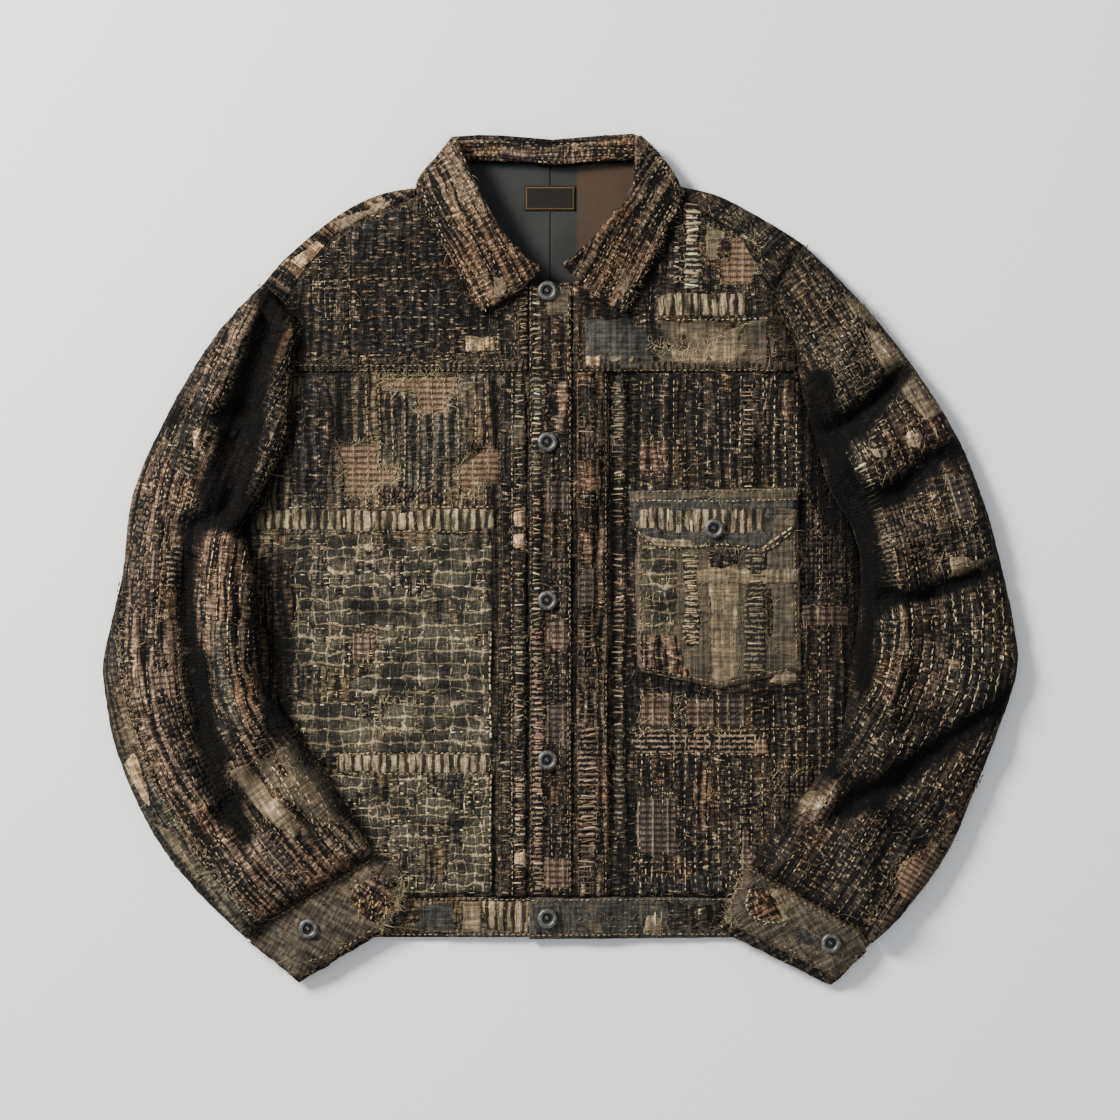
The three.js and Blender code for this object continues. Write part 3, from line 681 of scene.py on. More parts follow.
def plaid_cloth(name, ground, warm, dark, seed=0.0):
    """Old soft check that shows through a torn hole."""
    m = Nodes(name)
    u, v = m.grain()
    wobble = m.noise(u, v, 9.0, 9.0, 2.0, seed) * 1.6
    across = m.step((v + wobble).wave(6.3), -0.35, 0.55)
    along = m.step((u + wobble).wave(4.9), -0.7, 0.3)
    weave = woven(m, u, v, seed + 1.0)
    colour = m.mix(across * 0.6, ground, warm)
    colour = m.mix((1.0 - along) * 0.85, colour, dark)
    thread = m.step((v + wobble).wave(12.6), 0.88, 0.99)
    colour = m.mix(thread * 0.3, colour, CREAM)
    blotch = m.noise(u, v, 16.0, 16.0, 2.0, seed + 2.0)
    colour = m.shaded(colour, (0.3 + weave * 1.3) * (0.2 + blotch * 1.4))
    return m.finish(colour, weave + along * 0.5, 1.1)


def tick_cloth(name, light, dark, seed=0.0, pitch=7.5):
    """A faded selvedge: pale blocks parted by dark gaps that run across the strip."""
    m = Nodes(name)
    u, v = m.grain()
    wobble = m.noise(u, v, 5.0, 9.0, 2.0, seed) * 3.0
    wide = m.noise(v + wobble, u, pitch, 60.0, 2.0, seed + 1.0)
    fine = m.noise(v + wobble, u, 2.6, 22.0, 3.0, seed + 2.0)
    bar = (v + wobble * 0.8).arch(pitch)
    gap = m.step(wide * 0.45 + fine * 0.6 - bar * 0.24, 0.30, 0.46)
    weave = woven(m, u, v, seed + 3.0)
    tint = m.mix(m.step(m.noise(u, v, 30.0, 13.0, 2.0, seed + 4.0), 0.3, 0.7), light, OLIVE)
    colour = m.shaded(m.mix(gap * 0.93, tint, dark), 0.15 + weave * 1.25)
    return m.finish(colour, weave * 0.5 - gap, 1.2)


def grid_cloth(name, ground, faded, line, pitch_u, pitch_v, seed=0.0, cover=0.5):
    """Cloth crossed by pale lumpy threads, in a grid that wanders and wears away in places."""
    m = Nodes(name)
    u, v = m.grain()
    wu = u + (m.noise(u, v, 16.0, 34.0, 2.0, seed) - 0.5) * 15.0
    wu = wu + (m.noise(u, v, 3.0, 5.0, 2.0, seed + 1.0) - 0.5) * 2.2
    wv = v + (m.noise(u, v, 34.0, 16.0, 2.0, seed + 2.0) - 0.5) * 15.0
    wv = wv + (m.noise(u, v, 5.0, 3.0, 2.0, seed + 3.0) - 0.5) * 2.2
    weave = woven(m, u, v, seed + 4.0)
    lump = m.noise(u, v, 3.4, 3.4, 2.0, seed + 5.0)
    worn = m.noise(u, v, 26.0, 30.0, 2.0, seed + 6.0)

    def threads(w, pitch, width):
        bare = w.arch(pitch)
        return 1.0 - m.step(bare + (lump - 0.5) * 0.9 + (weave - 0.5) * 0.3, width, width + 0.2)

    bold = threads(wu, pitch_u, 0.15).math("MAXIMUM", threads(wv, pitch_v, 0.03))
    knot = threads(wu, pitch_u, 0.34) * threads(wv, pitch_v, 0.34)
    thin = threads(wu, pitch_u / 3, 0.2).math("MAXIMUM", threads(wv, pitch_v / 3, 0.2))
    patchy = m.step(worn * 0.7 + lump * 0.3, 0.62 - 0.3 * cover, 0.74 - 0.3 * cover)
    colour = m.mix(m.step(worn, 0.4, 0.62), ground, faded)
    colour = m.mix(thin * (patchy * 0.4 + 0.12), colour, KHAKI)
    colour = m.mix((bold * 0.75).math("MAXIMUM", knot) * (patchy * 0.55 + 0.45), colour, line)
    colour = m.shaded(colour, (0.1 + weave * 1.6) * (0.3 + worn * 1.4))
    return m.finish(colour, bold * 0.9 + thin * 0.4 + knot * 0.4 + weave * 0.4, 1.3)


def ladder_cloth(name, light, dark, seed=0.0, pitch=4.6):
    """A column of short raised bars, one above the other."""
    m = Nodes(name)
    u, v = m.grain()
    wobble = m.noise(u, v, 7.0, 4.0, 2.0, seed) * 3.4
    bar = m.step((u + wobble).wave(pitch), -0.25, 0.5)
    lost = m.step(m.noise(u, v, 9.0, 5.0, 2.0, seed + 1.0), 0.36, 0.52)
    weave = woven(m, u, v, seed + 2.0)
    tint = m.mix(m.noise(u, v, 26.0, 12.0, 2.0, seed + 3.0), light, KHAKI)
    colour = m.mix(bar * lost, dark, tint)
    return m.finish(m.shaded(colour, 0.2 + weave * 1.4), bar * lost + weave * 0.4, 1.4)


def nub_cloth(name, light, dark, seed=0.0, pitch_u=5.5, pitch_v=4.6, cover=0.5):
    """A thick check of nubs: each cell of the weave is its own light or dark lump."""
    m = Nodes(name)
    u, v = m.grain()
    wu = u + m.noise(u, v, 8.0, 8.0, 2.0, seed) * 5.0
    wv = v + m.noise(u, v, 8.0, 8.0, 2.0, seed + 1.0) * 5.0
    lump = wu.arch(pitch_u) * wv.arch(pitch_v)
    shade = m.cells(wu, wv, pitch_u, pitch_v, seed)
    pale = m.step(shade * 0.6 + lump * 0.5, 1.0 - cover, 1.16 - cover)
    weave = woven(m, u, v, seed + 2.0)
    tint = m.mix(m.noise(u, v, 24.0, 24.0, 2.0, seed + 3.0), light, UMBER)
    colour = m.shaded(m.mix(pale * 0.9, dark, tint), 0.2 + weave * 1.5)
    return m.finish(colour, lump + weave * 0.4, 1.5)


def lining_cloth():
    """Smooth dark lining with a brown panel and a seam up the middle of the back."""
    m = Nodes("lining_twill")
    u, v = m.grain()
    rib = (u + v).wave(0.9)
    cloud = m.noise(u, v, 34.0, 26.0, 3.0, 1.0)
    brown = m.step(v + m.noise(u, v, 12.0, 12.0, 2.0, 4.0) * 4.0, 14.0, 19.0)
    colour = m.mix(brown, (0.030, 0.031, 0.030), (0.060, 0.040, 0.026))
    seam = 1.0 - m.step((v + 8.0).math("ABSOLUTE"), 0.3, 1.1)
    colour = m.shaded(colour, (0.72 + cloud * 0.6) * (1.0 - seam * 0.6))
    return m.finish(colour, rib * 0.12 + cloud * 0.3 - seam, 0.6, 0.7)


def thread_material():
    """Soft cotton thread whose colour is its own, stitch by stitch, with painted shade from the panel it lies on."""
    m = Nodes("thread")
    u, v = m.grain()
    twist = (u + v * 1.2).wave(0.7)
    soil = m.noise(u, v, 7.0, 7.0, 2.0, 3.0)
    colour = m.shaded(m.attribute("tint"), 0.55 + soil * 0.85)
    return m.finish(colour, twist * 0.4, 0.15, 0.95, False)


def metal_material(name, face, edge):
    """Oxidised steel, mottled and finely scratched."""
    m = Nodes(name)
    place = Value(m, m.node("TexCoord").outputs["Object"])
    cloud = Value(m, m.node("TexNoise", Vector=place, Scale=420.0, Detail=4.0).outputs[0])
    scratch = Value(m, m.node("TexNoise", Vector=place, Scale=1900.0, Detail=2.0).outputs[0])
    colour = m.mix(m.step(cloud, 0.4, 0.66), face, edge)
    m.shader.inputs["Metallic"].default_value = 0.7
    m.finish(colour, scratch, 0.05, 0.36 + cloud * 0.3, False)
    m.shader.inputs["Specular IOR Level"].default_value = 0.5
    return m.material


def label_material():
    """A bare black ribbon with a woven gold border and no lettering."""
    m = Nodes("label_ribbon")
    u, v = m.grain()
    edge_u = (u - 304.5).math("ABSOLUTE")
    edge_v = (v + 8.5).math("ABSOLUTE")
    line_u = m.step(edge_u, 8.3, 8.5) * (1.0 - m.step(edge_u, 9.2, 9.4)) * (1.0 - m.step(edge_v, 20.0, 20.2))
    line_v = m.step(edge_v, 19.2, 19.4) * (1.0 - m.step(edge_v, 20.1, 20.3)) * (1.0 - m.step(edge_u, 9.1, 9.3))
    dash = m.step((u + v).wave(1.6), -0.4, 0.1)
    gold = line_u.math("MAXIMUM", line_v) * dash
    rib = u.wave(0.6)
    colour = m.mix(gold * 0.85, (0.012, 0.010, 0.008), (0.22, 0.13, 0.035))
    return m.finish(colour, rib * 0.3 + gold * 0.5, 0.2, 0.75)


FINISHES = {
    "charcoal": worn_cloth("charcoal_boro", SOOT, CHARCOAL, UMBER, 1.0, 0.6),
    "greygreen": worn_cloth("grey_green_boro", CHARCOAL, MOSS, OLIVE, 2.0, 0.5, KHAKI),
    "umber": worn_cloth("umber_boro", SOOT, UMBER, MAUVE, 3.0, 0.55),
    "indigo": worn_cloth("indigo_boro", SOOT, INDIGO, UMBER, 4.0, 0.5),
    "olive": plain_cloth("olive_canvas", MOSS, OLIVE, KHAKI, 5.0),
    "grey": plain_cloth("grey_canvas", CHARCOAL, (0.046, 0.044, 0.037), OLIVE, 6.0),
    "khaki": plain_cloth("khaki_canvas", OLIVE, KHAKI, SAND, 7.0),
    "canvas": plain_cloth("brown_canvas", (0.026, 0.021, 0.015), (0.072, 0.058, 0.040), (0.17, 0.135, 0.09), 9.0),
    "plaid": plaid_cloth("rust_plaid", (0.21, 0.135, 0.084), (0.33, 0.215, 0.125), (0.055, 0.034, 0.024), 1.0),
    "rose_plaid": plaid_cloth("rose_plaid", (0.09, 0.058, 0.043), ROSE, (0.030, 0.022, 0.018), 2.0),
    "plum_plaid": plaid_cloth("plum_plaid", (0.050, 0.038, 0.034), MAUVE, (0.016, 0.014, 0.014), 3.0),
    "ticks": tick_cloth("cream_ticks", CREAM, SOOT, 1.0),
    "dim_ticks": tick_cloth("dim_ticks", OLIVE, SOOT, 2.0, 5.0),
    "cream": worn_cloth("cream_patch", KHAKI, SAND, CREAM, 8.0, 0.4, CREAM, 0.9, 0.4),
    "ladder": ladder_cloth("cream_ladder", CREAM, CHARCOAL, 1.0),
    "rose_ladder": ladder_cloth("rose_ladder", ROSE, SOOT, 2.0),
    "khaki_ladder": ladder_cloth("khaki_ladder", KHAKI, CHARCOAL, 3.0),
    "grid": grid_cloth("grey_grid", CHARCOAL, MOSS, (0.45, 0.36, 0.22), 11.0, 13.0, 1.0, 0.6),
    "check": grid_cloth("houndstooth", CHARCOAL, MOSS, (0.45, 0.36, 0.22), 8.0, 8.0, 2.0, 0.8),
    "umber_nubs": nub_cloth("umber_nubs", MAUVE, SOOT, 3.0, 4.6, 4.0, 0.5),
    "lining": lining_cloth(),
    "thread": thread_material(),
    "metal": metal_material("aged_steel", (0.078, 0.076, 0.073), (0.17, 0.165, 0.155)),
    # Near black steel, a painted shade for the buttons' dished faces.
    "painted_shade_metal": metal_material("painted_shade_steel", (0.010, 0.010, 0.010), (0.03, 0.028, 0.026)),
    "label": label_material(),
}

# ---------------------------------------------------------------- meshes of cloth, stitches and hairs


class Cloth:
    """Gathers parts of one piece, then makes its mesh."""

    def __init__(self, name):
        self.name = name
        self.points, self.faces, self.uv, self.tint, self.finish, self.smooth = [], [], [], [], [], []
        self.finishes = []
        self.count = 0

    def add(self, points, faces, uv, finish, tint=(1, 1, 1), soft=True):
        points = np.asarray(points, float)
        faces = np.asarray(faces, int)
        if finish not in self.finishes:
            self.finishes.append(finish)
        self.points.append(points)
        self.faces.append(faces + self.count)
        self.uv.append(np.asarray(uv, float))
        self.tint.append(np.broadcast_to(np.asarray(tint, float), (len(points), 3)))
        self.finish.append(np.full(len(faces), self.finishes.index(finish)))
        self.smooth.append(np.broadcast_to(np.asarray(soft), (len(faces),)))
        self.count += len(points)

    def darken(self, shade):
        """Darkens everything gathered so far by a number for each place, as painted shade."""
        self.tint = [t * shade(*p[:, :2].T)[:, None] for t, p in zip(self.tint, self.points)]

    def make(self):
        points = np.vstack(self.points) * MM
        faces = np.vstack(self.faces)
        mesh = bpy.data.meshes.new(self.name)
        mesh.vertices.add(len(points))
        mesh.vertices.foreach_set("co", points.astype(np.float32).ravel())
        mesh.loops.add(faces.size)
        mesh.loops.foreach_set("vertex_index", faces.astype(np.int32).ravel())
        mesh.polygons.add(len(faces))
        mesh.polygons.foreach_set("loop_start", np.arange(0, faces.size, 3, dtype=np.int32))
        mesh.polygons.foreach_set("material_index", np.concatenate(self.finish).astype(np.int32))
        mesh.polygons.foreach_set("use_smooth", np.concatenate(self.smooth))
        mesh.update(calc_edges=True)
        grain = mesh.uv_layers.new(name="grain")
        grain.data.foreach_set("uv", (np.vstack(self.uv)[faces.ravel()] * MM).astype(np.float32).ravel())
        tint = mesh.color_attributes.new("tint", "FLOAT_COLOR", "POINT")
        colours = np.column_stack([np.vstack(self.tint), np.ones(self.count)])
        tint.data.foreach_set("color", colours.astype(np.float32).ravel())
        for finish in self.finishes:
            mesh.materials.append(FINISHES[finish])
        piece = bpy.data.objects.new(self.name, mesh)
        scene.collection.objects.link(piece)
        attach(piece, "root")
        return piece


def closed_loop(points, step):
    """A closed outline with points at even steps between its corners."""
    runs = []
    for a, b in zip(points, np.roll(points, -1, axis=0)):
        count = max(1, round(math.dist(a, b) / step))
        t = np.arange(count)[:, None] / count
        runs.append(a + (b - a) * t)
    return np.vstack(runs)


def frayed(loop, reach, seed):
    """A raw edge: the outline wanders in and out of its line."""
    if not reach:
        return loop
    turn = np.roll(loop, -1, axis=0) - np.roll(loop, 1, axis=0)
    side = np.column_stack([turn[:, 1], -turn[:, 0]]) / np.maximum(1e-6, np.hypot(*turn.T))[:, None]
    x, y = loop.T
    off = reach * (0.7 * lumps(x / 6, y / 6, seed) + 0.5 * lumps(x / 2.4, y / 2.4, seed + 1))
    return loop + side * off[:, None]


def triangles(loops, step):
    """Points and triangles that fill an outline less its holes: the loops' points, then the inner ones."""
    outer = loops[0]
    xs = np.arange(outer[:, 0].min(), outer[:, 0].max(), step)
    ys = np.arange(outer[:, 1].min(), outer[:, 1].max(), step)
    gx, gy = (g.ravel() for g in np.meshgrid(xs, ys))
    gx = gx + (np.floor((gy - ys[0]) / step + 0.5) % 2) * step / 2
    keep = inside(outer, gx, gy)
    for hole in loops[1:]:
        keep &= ~inside(hole, gx, gy)
    gx, gy = gx[keep], gy[keep]
    edge = np.vstack(loops)
    near = np.zeros(len(gx), bool)
    cell = 4 * step
    table = {}
    for k, (x, y) in enumerate(edge):
        table.setdefault((int(x // cell), int(y // cell)), []).append(k)
    for k, (x, y) in enumerate(zip(gx, gy)):
        i, j = int(x // cell), int(y // cell)
        close = [n for a in (-1, 0, 1) for b in (-1, 0, 1) for n in table.get((i + a, j + b), ())]
        if close:
            d = edge[close] - (x, y)
            near[k] = (d * d).sum(axis=1).min() < (0.62 * step) ** 2
    inner = np.column_stack([gx, gy])[~near]
    points = np.vstack([edge, inner])
    bounds, start = [], 0
    for loop in loops:
        ring = range(start, start + len(loop))
        bounds += [(k, start + (k - start + 1) % len(loop)) for k in ring]
        start += len(loop)
    found = geometry.delaunay_2d_cdt([Vector(p) for p in points.tolist()], bounds, [], 1, 1e-4)
    spots = np.array([tuple(p) for p in found[0]])
    faces = np.array([f for f in found[2] if len(f) == 3], int)
    centre = spots[faces].mean(axis=1)
    for hole in loops[1:]:
        faces, centre = faces[~inside(hole, *centre.T)], centre[~inside(hole, *centre.T)]
    a, b, c = (spots[faces[:, k]] for k in range(3))
    turn = (b[:, 0] - a[:, 0]) * (c[:, 1] - a[:, 1]) - (b[:, 1] - a[:, 1]) * (c[:, 0] - a[:, 0])
    faces[turn < 0] = faces[turn < 0][:, ::-1]
    return spots, faces


def open_edges(faces):
    """The edges that only one triangle has, in that triangle's direction."""
    sides = np.vstack([faces[:, (0, 1)], faces[:, (1, 2)], faces[:, (2, 0)]])
    _, place, times = np.unique(np.sort(sides, axis=1), axis=0, return_index=True, return_counts=True)
    return sides[place[times == 1]]


def sheet(cloth, shape, top, thickness, finish, grain=UPRIGHT, step=2.3, fray=0.25, dip=1.0, holes=(), seed=1.0,
          under_step=None, bottom=None, shade=None):
    """Adds a sheet of cloth: its top, the same surface a thickness lower, and the edge between."""
    loops = [frayed(closed_loop(np.asarray(shape, float), step), fray, seed)]
    if loops[0].size and np.sign(area_of(loops[0])) < 0:
        loops[0] = loops[0][::-1]
    for k, hole in enumerate(holes):
        ring = frayed(closed_loop(np.asarray(hole, float), step * 0.8), 1.3, seed + 3 + k)
        loops.append(ring[::-1] if area_of(ring) > 0 else ring)

    def height(spots):
        x, y = spots.T
        z = top(x, y)
        if dip:
            rim = distance(loops[0][:: max(1, int(5 / step))], x, y, closed=True)
            z = z - dip * np.exp(-((rim / 2.6) ** 2))
        return z

    spots, upper = triangles(loops, step)
    low_spots, lower = triangles(loops, under_step or max(step, 8.0))
    rim = open_edges(upper)
    if not np.array_equal(rim, open_edges(lower)):
        low_spots, lower = spots, upper
    edge = rim.max() + 1
    z, low_z = height(spots), height(low_spots) - thickness
    low_z[:edge] = z[:edge] - thickness
    if bottom:
        low_z = bottom(*low_spots.T)
    drop = height(low_spots) - low_z
    points = np.vstack([np.column_stack([spots, z]), np.column_stack([low_spots, low_z])])
    a, b = rim.T
    c, d = rim.T + len(spots)
    faces = np.vstack([upper, lower[:, ::-1] + len(spots), np.column_stack([a, c, d]), np.column_stack([a, d, b])])
    soft = np.ones(len(faces), bool)
    soft[len(upper) + len(lower):] = False
    # The tint holds the painted shade of the panel, or 1 where it has none.
    tint = np.ones(len(points)) if shade is None else shade(*points[:, :2].T)
    uv = np.column_stack(grain.from_plane(points[:, 0], points[:, 1]))
    uv[len(spots):] += drop[:, None]
    cloth.add(points, faces, uv, finish, np.repeat(tint[:, None], 3, axis=1), soft)


def area_of(loop):
    x, y = np.asarray(loop, float).T
    return 0.5 * float(np.sum(x * np.roll(y, -1) - y * np.roll(x, -1)))


def stitches(cloth, starts, ends, top, width, height, tints):
    """Adds thread stitches, each from one point of the cloth to another, standing a little proud."""
    starts, ends = np.asarray(starts, float), np.asarray(ends, float)
    if not len(starts):
        return
    n = len(starts)
    run = ends - starts
    side = np.column_stack([-run[:, 1], run[:, 0]]) / np.maximum(1e-6, np.hypot(*run.T))[:, None]
    width = np.broadcast_to(width, (n,))[:, None] / 2
    height = np.broadcast_to(height, (n,))
    spots = []
    for t, wide, low in ((0.0, 0.0, -0.35), (0.16, 1.0, 0.0), (0.84, 1.0, 0.0), (1.0, 0.0, -0.35)):
        middle = starts + run * t
        if not wide:
            spots.append(np.column_stack([middle, top(*middle.T) + low]))
            continue
        ground = top(*middle.T)
        for across, up in ((1, -0.2), (0, 1.0), (-1, -0.2)):
            spots.append(np.column_stack([middle + side * width * across, ground + height * up]))
    points = np.stack(spots, axis=1).reshape(-1, 3)
    faces = []
    for k in range(3):
        m = (k + 1) % 3
        faces += [(0, 1 + m, 1 + k), (1 + k, 1 + m, 4 + m), (1 + k, 4 + m, 4 + k), (7, 4 + k, 4 + m)]
    faces = (np.array(faces)[None] + 8 * np.arange(n)[:, None, None]).reshape(-1, 3)
    along = np.array([0] + [0.16] * 3 + [0.84] * 3 + [1])
    uv = np.column_stack([
        (np.hypot(*run.T)[:, None] * along).ravel() + np.repeat(np.arange(n) * 3.7, 8),
        np.tile([0, 0.5, 0, -0.5, 0.5, 0, -0.5, 0], n),
    ])
    cloth.add(points, faces, uv, "thread", np.repeat(tints, 8, axis=0))


def hairs(cloth, starts, angles, lengths, top, tints, radius=0.2, curl=0.8, lift=1.0):
    """Adds loose thread ends: thin curled strands that lie on the cloth."""
    starts = np.asarray(starts, float)
    if not len(starts):
        return
    n, rings = len(starts), 4
    bend = dice.normal(0, curl, n)
    wave = dice.normal(0, curl, n)
    points, middle = [], starts.copy()
    for k in range(rings):
        t = k / (rings - 1)
        heading = angles + bend * t * 2 + wave * math.sin(3 * t)
        way = np.column_stack([np.cos(heading), np.sin(heading)])
        if k:
            middle = middle + way * (lengths / (rings - 1))[:, None]
        side = np.column_stack([-way[:, 1], way[:, 0]])
        z = top(*middle.T) + 0.15 + lift * math.sin(math.pi * t) * 0.8
        thin = radius * (1 - 0.55 * t)
        for across, up in ((1, -0.5), (0, 0.9), (-1, -0.5)):
            points.append(np.column_stack([middle + side * across * thin, z + thin * up]))
    points = np.stack(points, axis=1).reshape(-1, 3)
    faces = [(2, 1, 0)]
    for k in range(rings - 1):
        a = 3 * k
        for i in range(3):
            j = (i + 1) % 3
            faces += [(a + i, a + 3 + j, a + 3 + i), (a + i, a + j, a + 3 + j)]
    last = 3 * (rings - 1)
    faces.append((last, last + 1, last + 2))
    size = 3 * rings
    faces = (np.array(faces)[None] + size * np.arange(n)[:, None, None]).reshape(-1, 3)
    uv = np.column_stack([np.tile(np.repeat(np.arange(rings) * 2.0, 3), n), np.tile([0, 0.3, 0.6], n * rings)])
    cloth.add(points, faces, uv, "thread", np.repeat(tints, size, axis=0))


def thread_tints(colour, n, vary=0.35):
    """A thread colour for each stitch, some dirty and some clean."""
    shade = np.exp(dice.normal(-0.15, vary, n))[:, None]
    return np.clip(np.asarray(colour)[None] * shade * (1 + dice.normal(0, 0.05, (n, 3))), 0.004, 0.75)


# ---------------------------------------------------------------- one sewn panel


def quilted(top, grain, pitch_u, pitch_v, depth, size=1.0, seed=0.0):
    """A surface puckered into small pillows between its rows of stitches, and crumpled on the whole."""
    rough = crumpled(top, size, seed)

    def pillows(x, y):
        u, v = grain.from_plane(x, y)
        u = u + 2.4 * lumps(u / 17, v / 17, seed + 1)
        v = v + 1.6 * lumps(u / 23, v / 23, seed + 2)
        deep = 0.75 + 0.5 * lumps(u / 30, v / 30, seed + 3)
        rise = np.zeros(np.shape(x))
        for place, pitch in ((v, pitch_v), (u, pitch_u)):
            if pitch:
                rise = rise + np.sqrt(np.abs(np.sin(np.pi * place / pitch))) - 0.75
        return rough(x, y) + depth * deep * rise

    return pillows


def box(x0, x1, y0, y1):
    return np.array([(x0, y0), (x1, y0), (x1, y1), (x0, y1)], float)


class Panel:
    """One cut piece: its ground cloth, and the patches, stitches and threads sewn on it."""

    def __init__(self, name, slot, shape, top, thickness, finish, grain=UPRIGHT, nodes=None, holes=(), seed=1.0,
                 bottom=None, fray=0.25, step=2.3, dip=1.0, shade=None):
        self.name, self.slot, self.grain, self.seed = name, slot, grain, seed
        self.nodes = nodes or [name]
        self.shape = np.asarray(shape, float)
        self.top = top = sampled(top, 1.5, self.shape)
        self.ground, self.patches = Cloth(name + "_cloth"), Cloth(name + "_patches")
        self.threads = Cloth(name + "_threads")
        self.covers, self.holes = [], [np.asarray(h, float) for h in holes]
        self.shade = shade
        sheet(self.ground, self.shape, top, thickness, finish, grain, step, fray, dip, self.holes, seed, bottom=bottom,
              shade=shade)

    def surface(self, x, y):
        """The height that shows: the ground, or the highest patch over it, or the cloth in a hole."""
        z = self.top(x, y)
        for shape, lift in self.covers:
            z = np.where(inside(shape, x, y), np.maximum(z, self.top(x, y) + lift), z)
        for hole in self.holes:
            z = np.where(inside(hole, x, y), z - HOLE_DEPTH, z)
        return z

    def patch(self, shape, finish, lift=0.9, fray=0.7, fringe=0.5, colour=SAND, dip=0.9, grain=None):
        """A scrap laid on the ground with raw edges and a fringe of its own threads."""
        shape = self.held_in(np.asarray(shape, float))
        seed = self.seed + 7 * len(self.covers)
        rough = crumpled(self.top, 0.8, seed)
        below = 0.0 if not self.covers else max(
            [l for s, l in self.covers if inside(s, *shape.mean(axis=0))], default=0.0)
        lift = lift + below
        sheet(self.patches, shape, lambda x, y: rough(x, y) + lift, SCRAP_CLOTH, finish, grain or self.grain, 2.1,
              fray, dip, (), seed, under_step=UNSEEN_STEP, shade=self.shade)
        self.covers.append((shape, lift))
        if fringe:
            self.fringe(np.vstack([shape, shape[:1]]), 0.6 * fringe, colour)

    def patches_of(self, rows, fray, fringe, colour=SAND):
        """Several scraps with the same edges: rows of outline, finish and lift."""
        for shape, finish, lift in rows:
            self.patch(shape, finish, lift, fray, fringe, colour)

    def held_in(self, shape):
        """A scrap's outline, trimmed where it would pass the panel's own edge."""
        ring, edge = closed_loop(shape, 5.0), closed_loop(self.shape, 2.0)
        for k in np.flatnonzero(~inside(self.shape, *ring.T)):
            ring[k] = edge[np.hypot(*(edge - ring[k]).T).argmin()]
        return outline([p for k, p in enumerate(ring) if not (ring[:k] == p).all(axis=1).any()])

    def underlay(self, hole, finish, grain=None):
        """The cloth that shows through a hole: a little wider than the hole, and lower."""
        middle = hole.mean(axis=0)
        wide = middle + (hole - middle) * (1 + 5 / np.abs(hole - middle).max())
        sheet(self.patches, wide, lambda x, y: self.top(x, y) - HOLE_DEPTH, 1.0, finish, grain or self.grain, 2.3, 0, 0,
              (), self.seed + 40, under_step=UNSEEN_STEP)

    def open_hole(self, finish, colour=SAND, density=0.9, grain=None):
        """Lays cloth under every hole and frays the holes' edges."""
        for hole in self.holes:
            self.underlay(hole, finish, grain)
            self.fringe(np.vstack([hole, hole[:1]]), density, colour, 4.5)

    def fringe(self, line, density=0.6, colour=SAND, length=3.4, spread=0.7, radius=0.15):
        """Thread ends that stick out along a raw edge, in both directions."""
        line = spaced(np.asarray(line, float), 1.0)
        n = int(len(line) * density * 0.75)
        pick = dice.integers(0, len(line), n)
        run = np.gradient(line, axis=0)[pick]
        across = np.arctan2(run[:, 1], run[:, 0]) + np.where(dice.random(n) < 0.5, 1, -1) * math.pi / 2
        starts = line[pick] + dice.normal(0, 0.5, (n, 2))
        angles = across + dice.normal(0, spread, n)
        hairs(self.threads, starts, angles, length * dice.uniform(0.4, 1.7, n), self.surface,
              thread_tints(colour, n, 0.4), radius)

    def loose(self, n, colour=SAND, length=9.0, region=None, radius=0.14, curl=0.6):
        """Loose threads scattered over the panel."""
        n = n if region is not None else int(n * 0.3)
        region = self.shape if region is None else np.asarray(region, float)
        low, high = region.min(axis=0), region.max(axis=0)
        starts = low + (high - low) * dice.random((3 * n, 2))
        starts = starts[inside(region, *starts.T)][:n]
        n = len(starts)
        hairs(self.threads, starts, dice.uniform(0, 2 * math.pi, n), length * dice.uniform(0.4, 1.9, n), self.surface,
              thread_tints(colour, n, 0.4), radius, curl)

    def rows(self, pitch, dash, gap, colour, region=None, across=False, width=0.9, height=0.5, keep=0.88,
             wander=1.0, offset=0.0, vary=0.35, worn=-0.45, grain=None, avoid=()):
        """Rows of running stitches along the grain, or across it."""
        region = self.shape if region is None else np.asarray(region, float)
        grain = grain or self.grain
        along, side = grain.from_plane(*region.T)
        if across:
            along, side = side, along
        lines = offset + pitch * np.arange(math.ceil((side.min() - offset) / pitch), (side.max() - offset) / pitch)
        count = int((along.max() - along.min()) / (dash + gap)) + 2
        begin = along.min() - dice.uniform(0, dash + gap, (len(lines), 1)) + np.arange(count) * (dash + gap)
        begin = begin + dice.normal(0, 0.22 * gap, begin.shape)
        end = begin + dash * dice.uniform(0.7, 1.2, begin.shape)
        lines = lines[:, None]
        places = []
        for t in (begin, end):
            drift = lines + wander * (lumps(t / 34, lines * 0.731, self.seed) + 0.5 * lumps(t / 12, lines * 0.37, 8))
            drift = drift + dice.normal(0, 0.12 * wander, t.shape)
            u, v = (drift, t) if across else (t, drift)
            x, y = grain.to_plane(u.ravel(), v.ravel())
            places.append(np.column_stack([x, y]))
        starts, ends = places
        good = inside(region, *starts.T) & inside(region, *ends.T) & (dice.random(len(starts)) < keep)
        good &= lumps(starts[:, 0] / 13, starts[:, 1] / 13, self.seed + 21) > worn
        good &= inside(self.shape, *starts.T) & inside(self.shape, *ends.T)
        for shape in avoid:
            good &= ~inside(np.asarray(shape, float), *starts.T) & ~inside(np.asarray(shape, float), *ends.T)
        starts, ends = starts[good], ends[good]
        n = len(starts)
        stitches(self.threads, starts, ends, self.surface, width * dice.uniform(0.75, 1.25, n),
                 height * dice.uniform(0.7, 1.3, n), thread_tints(colour, n, vary))

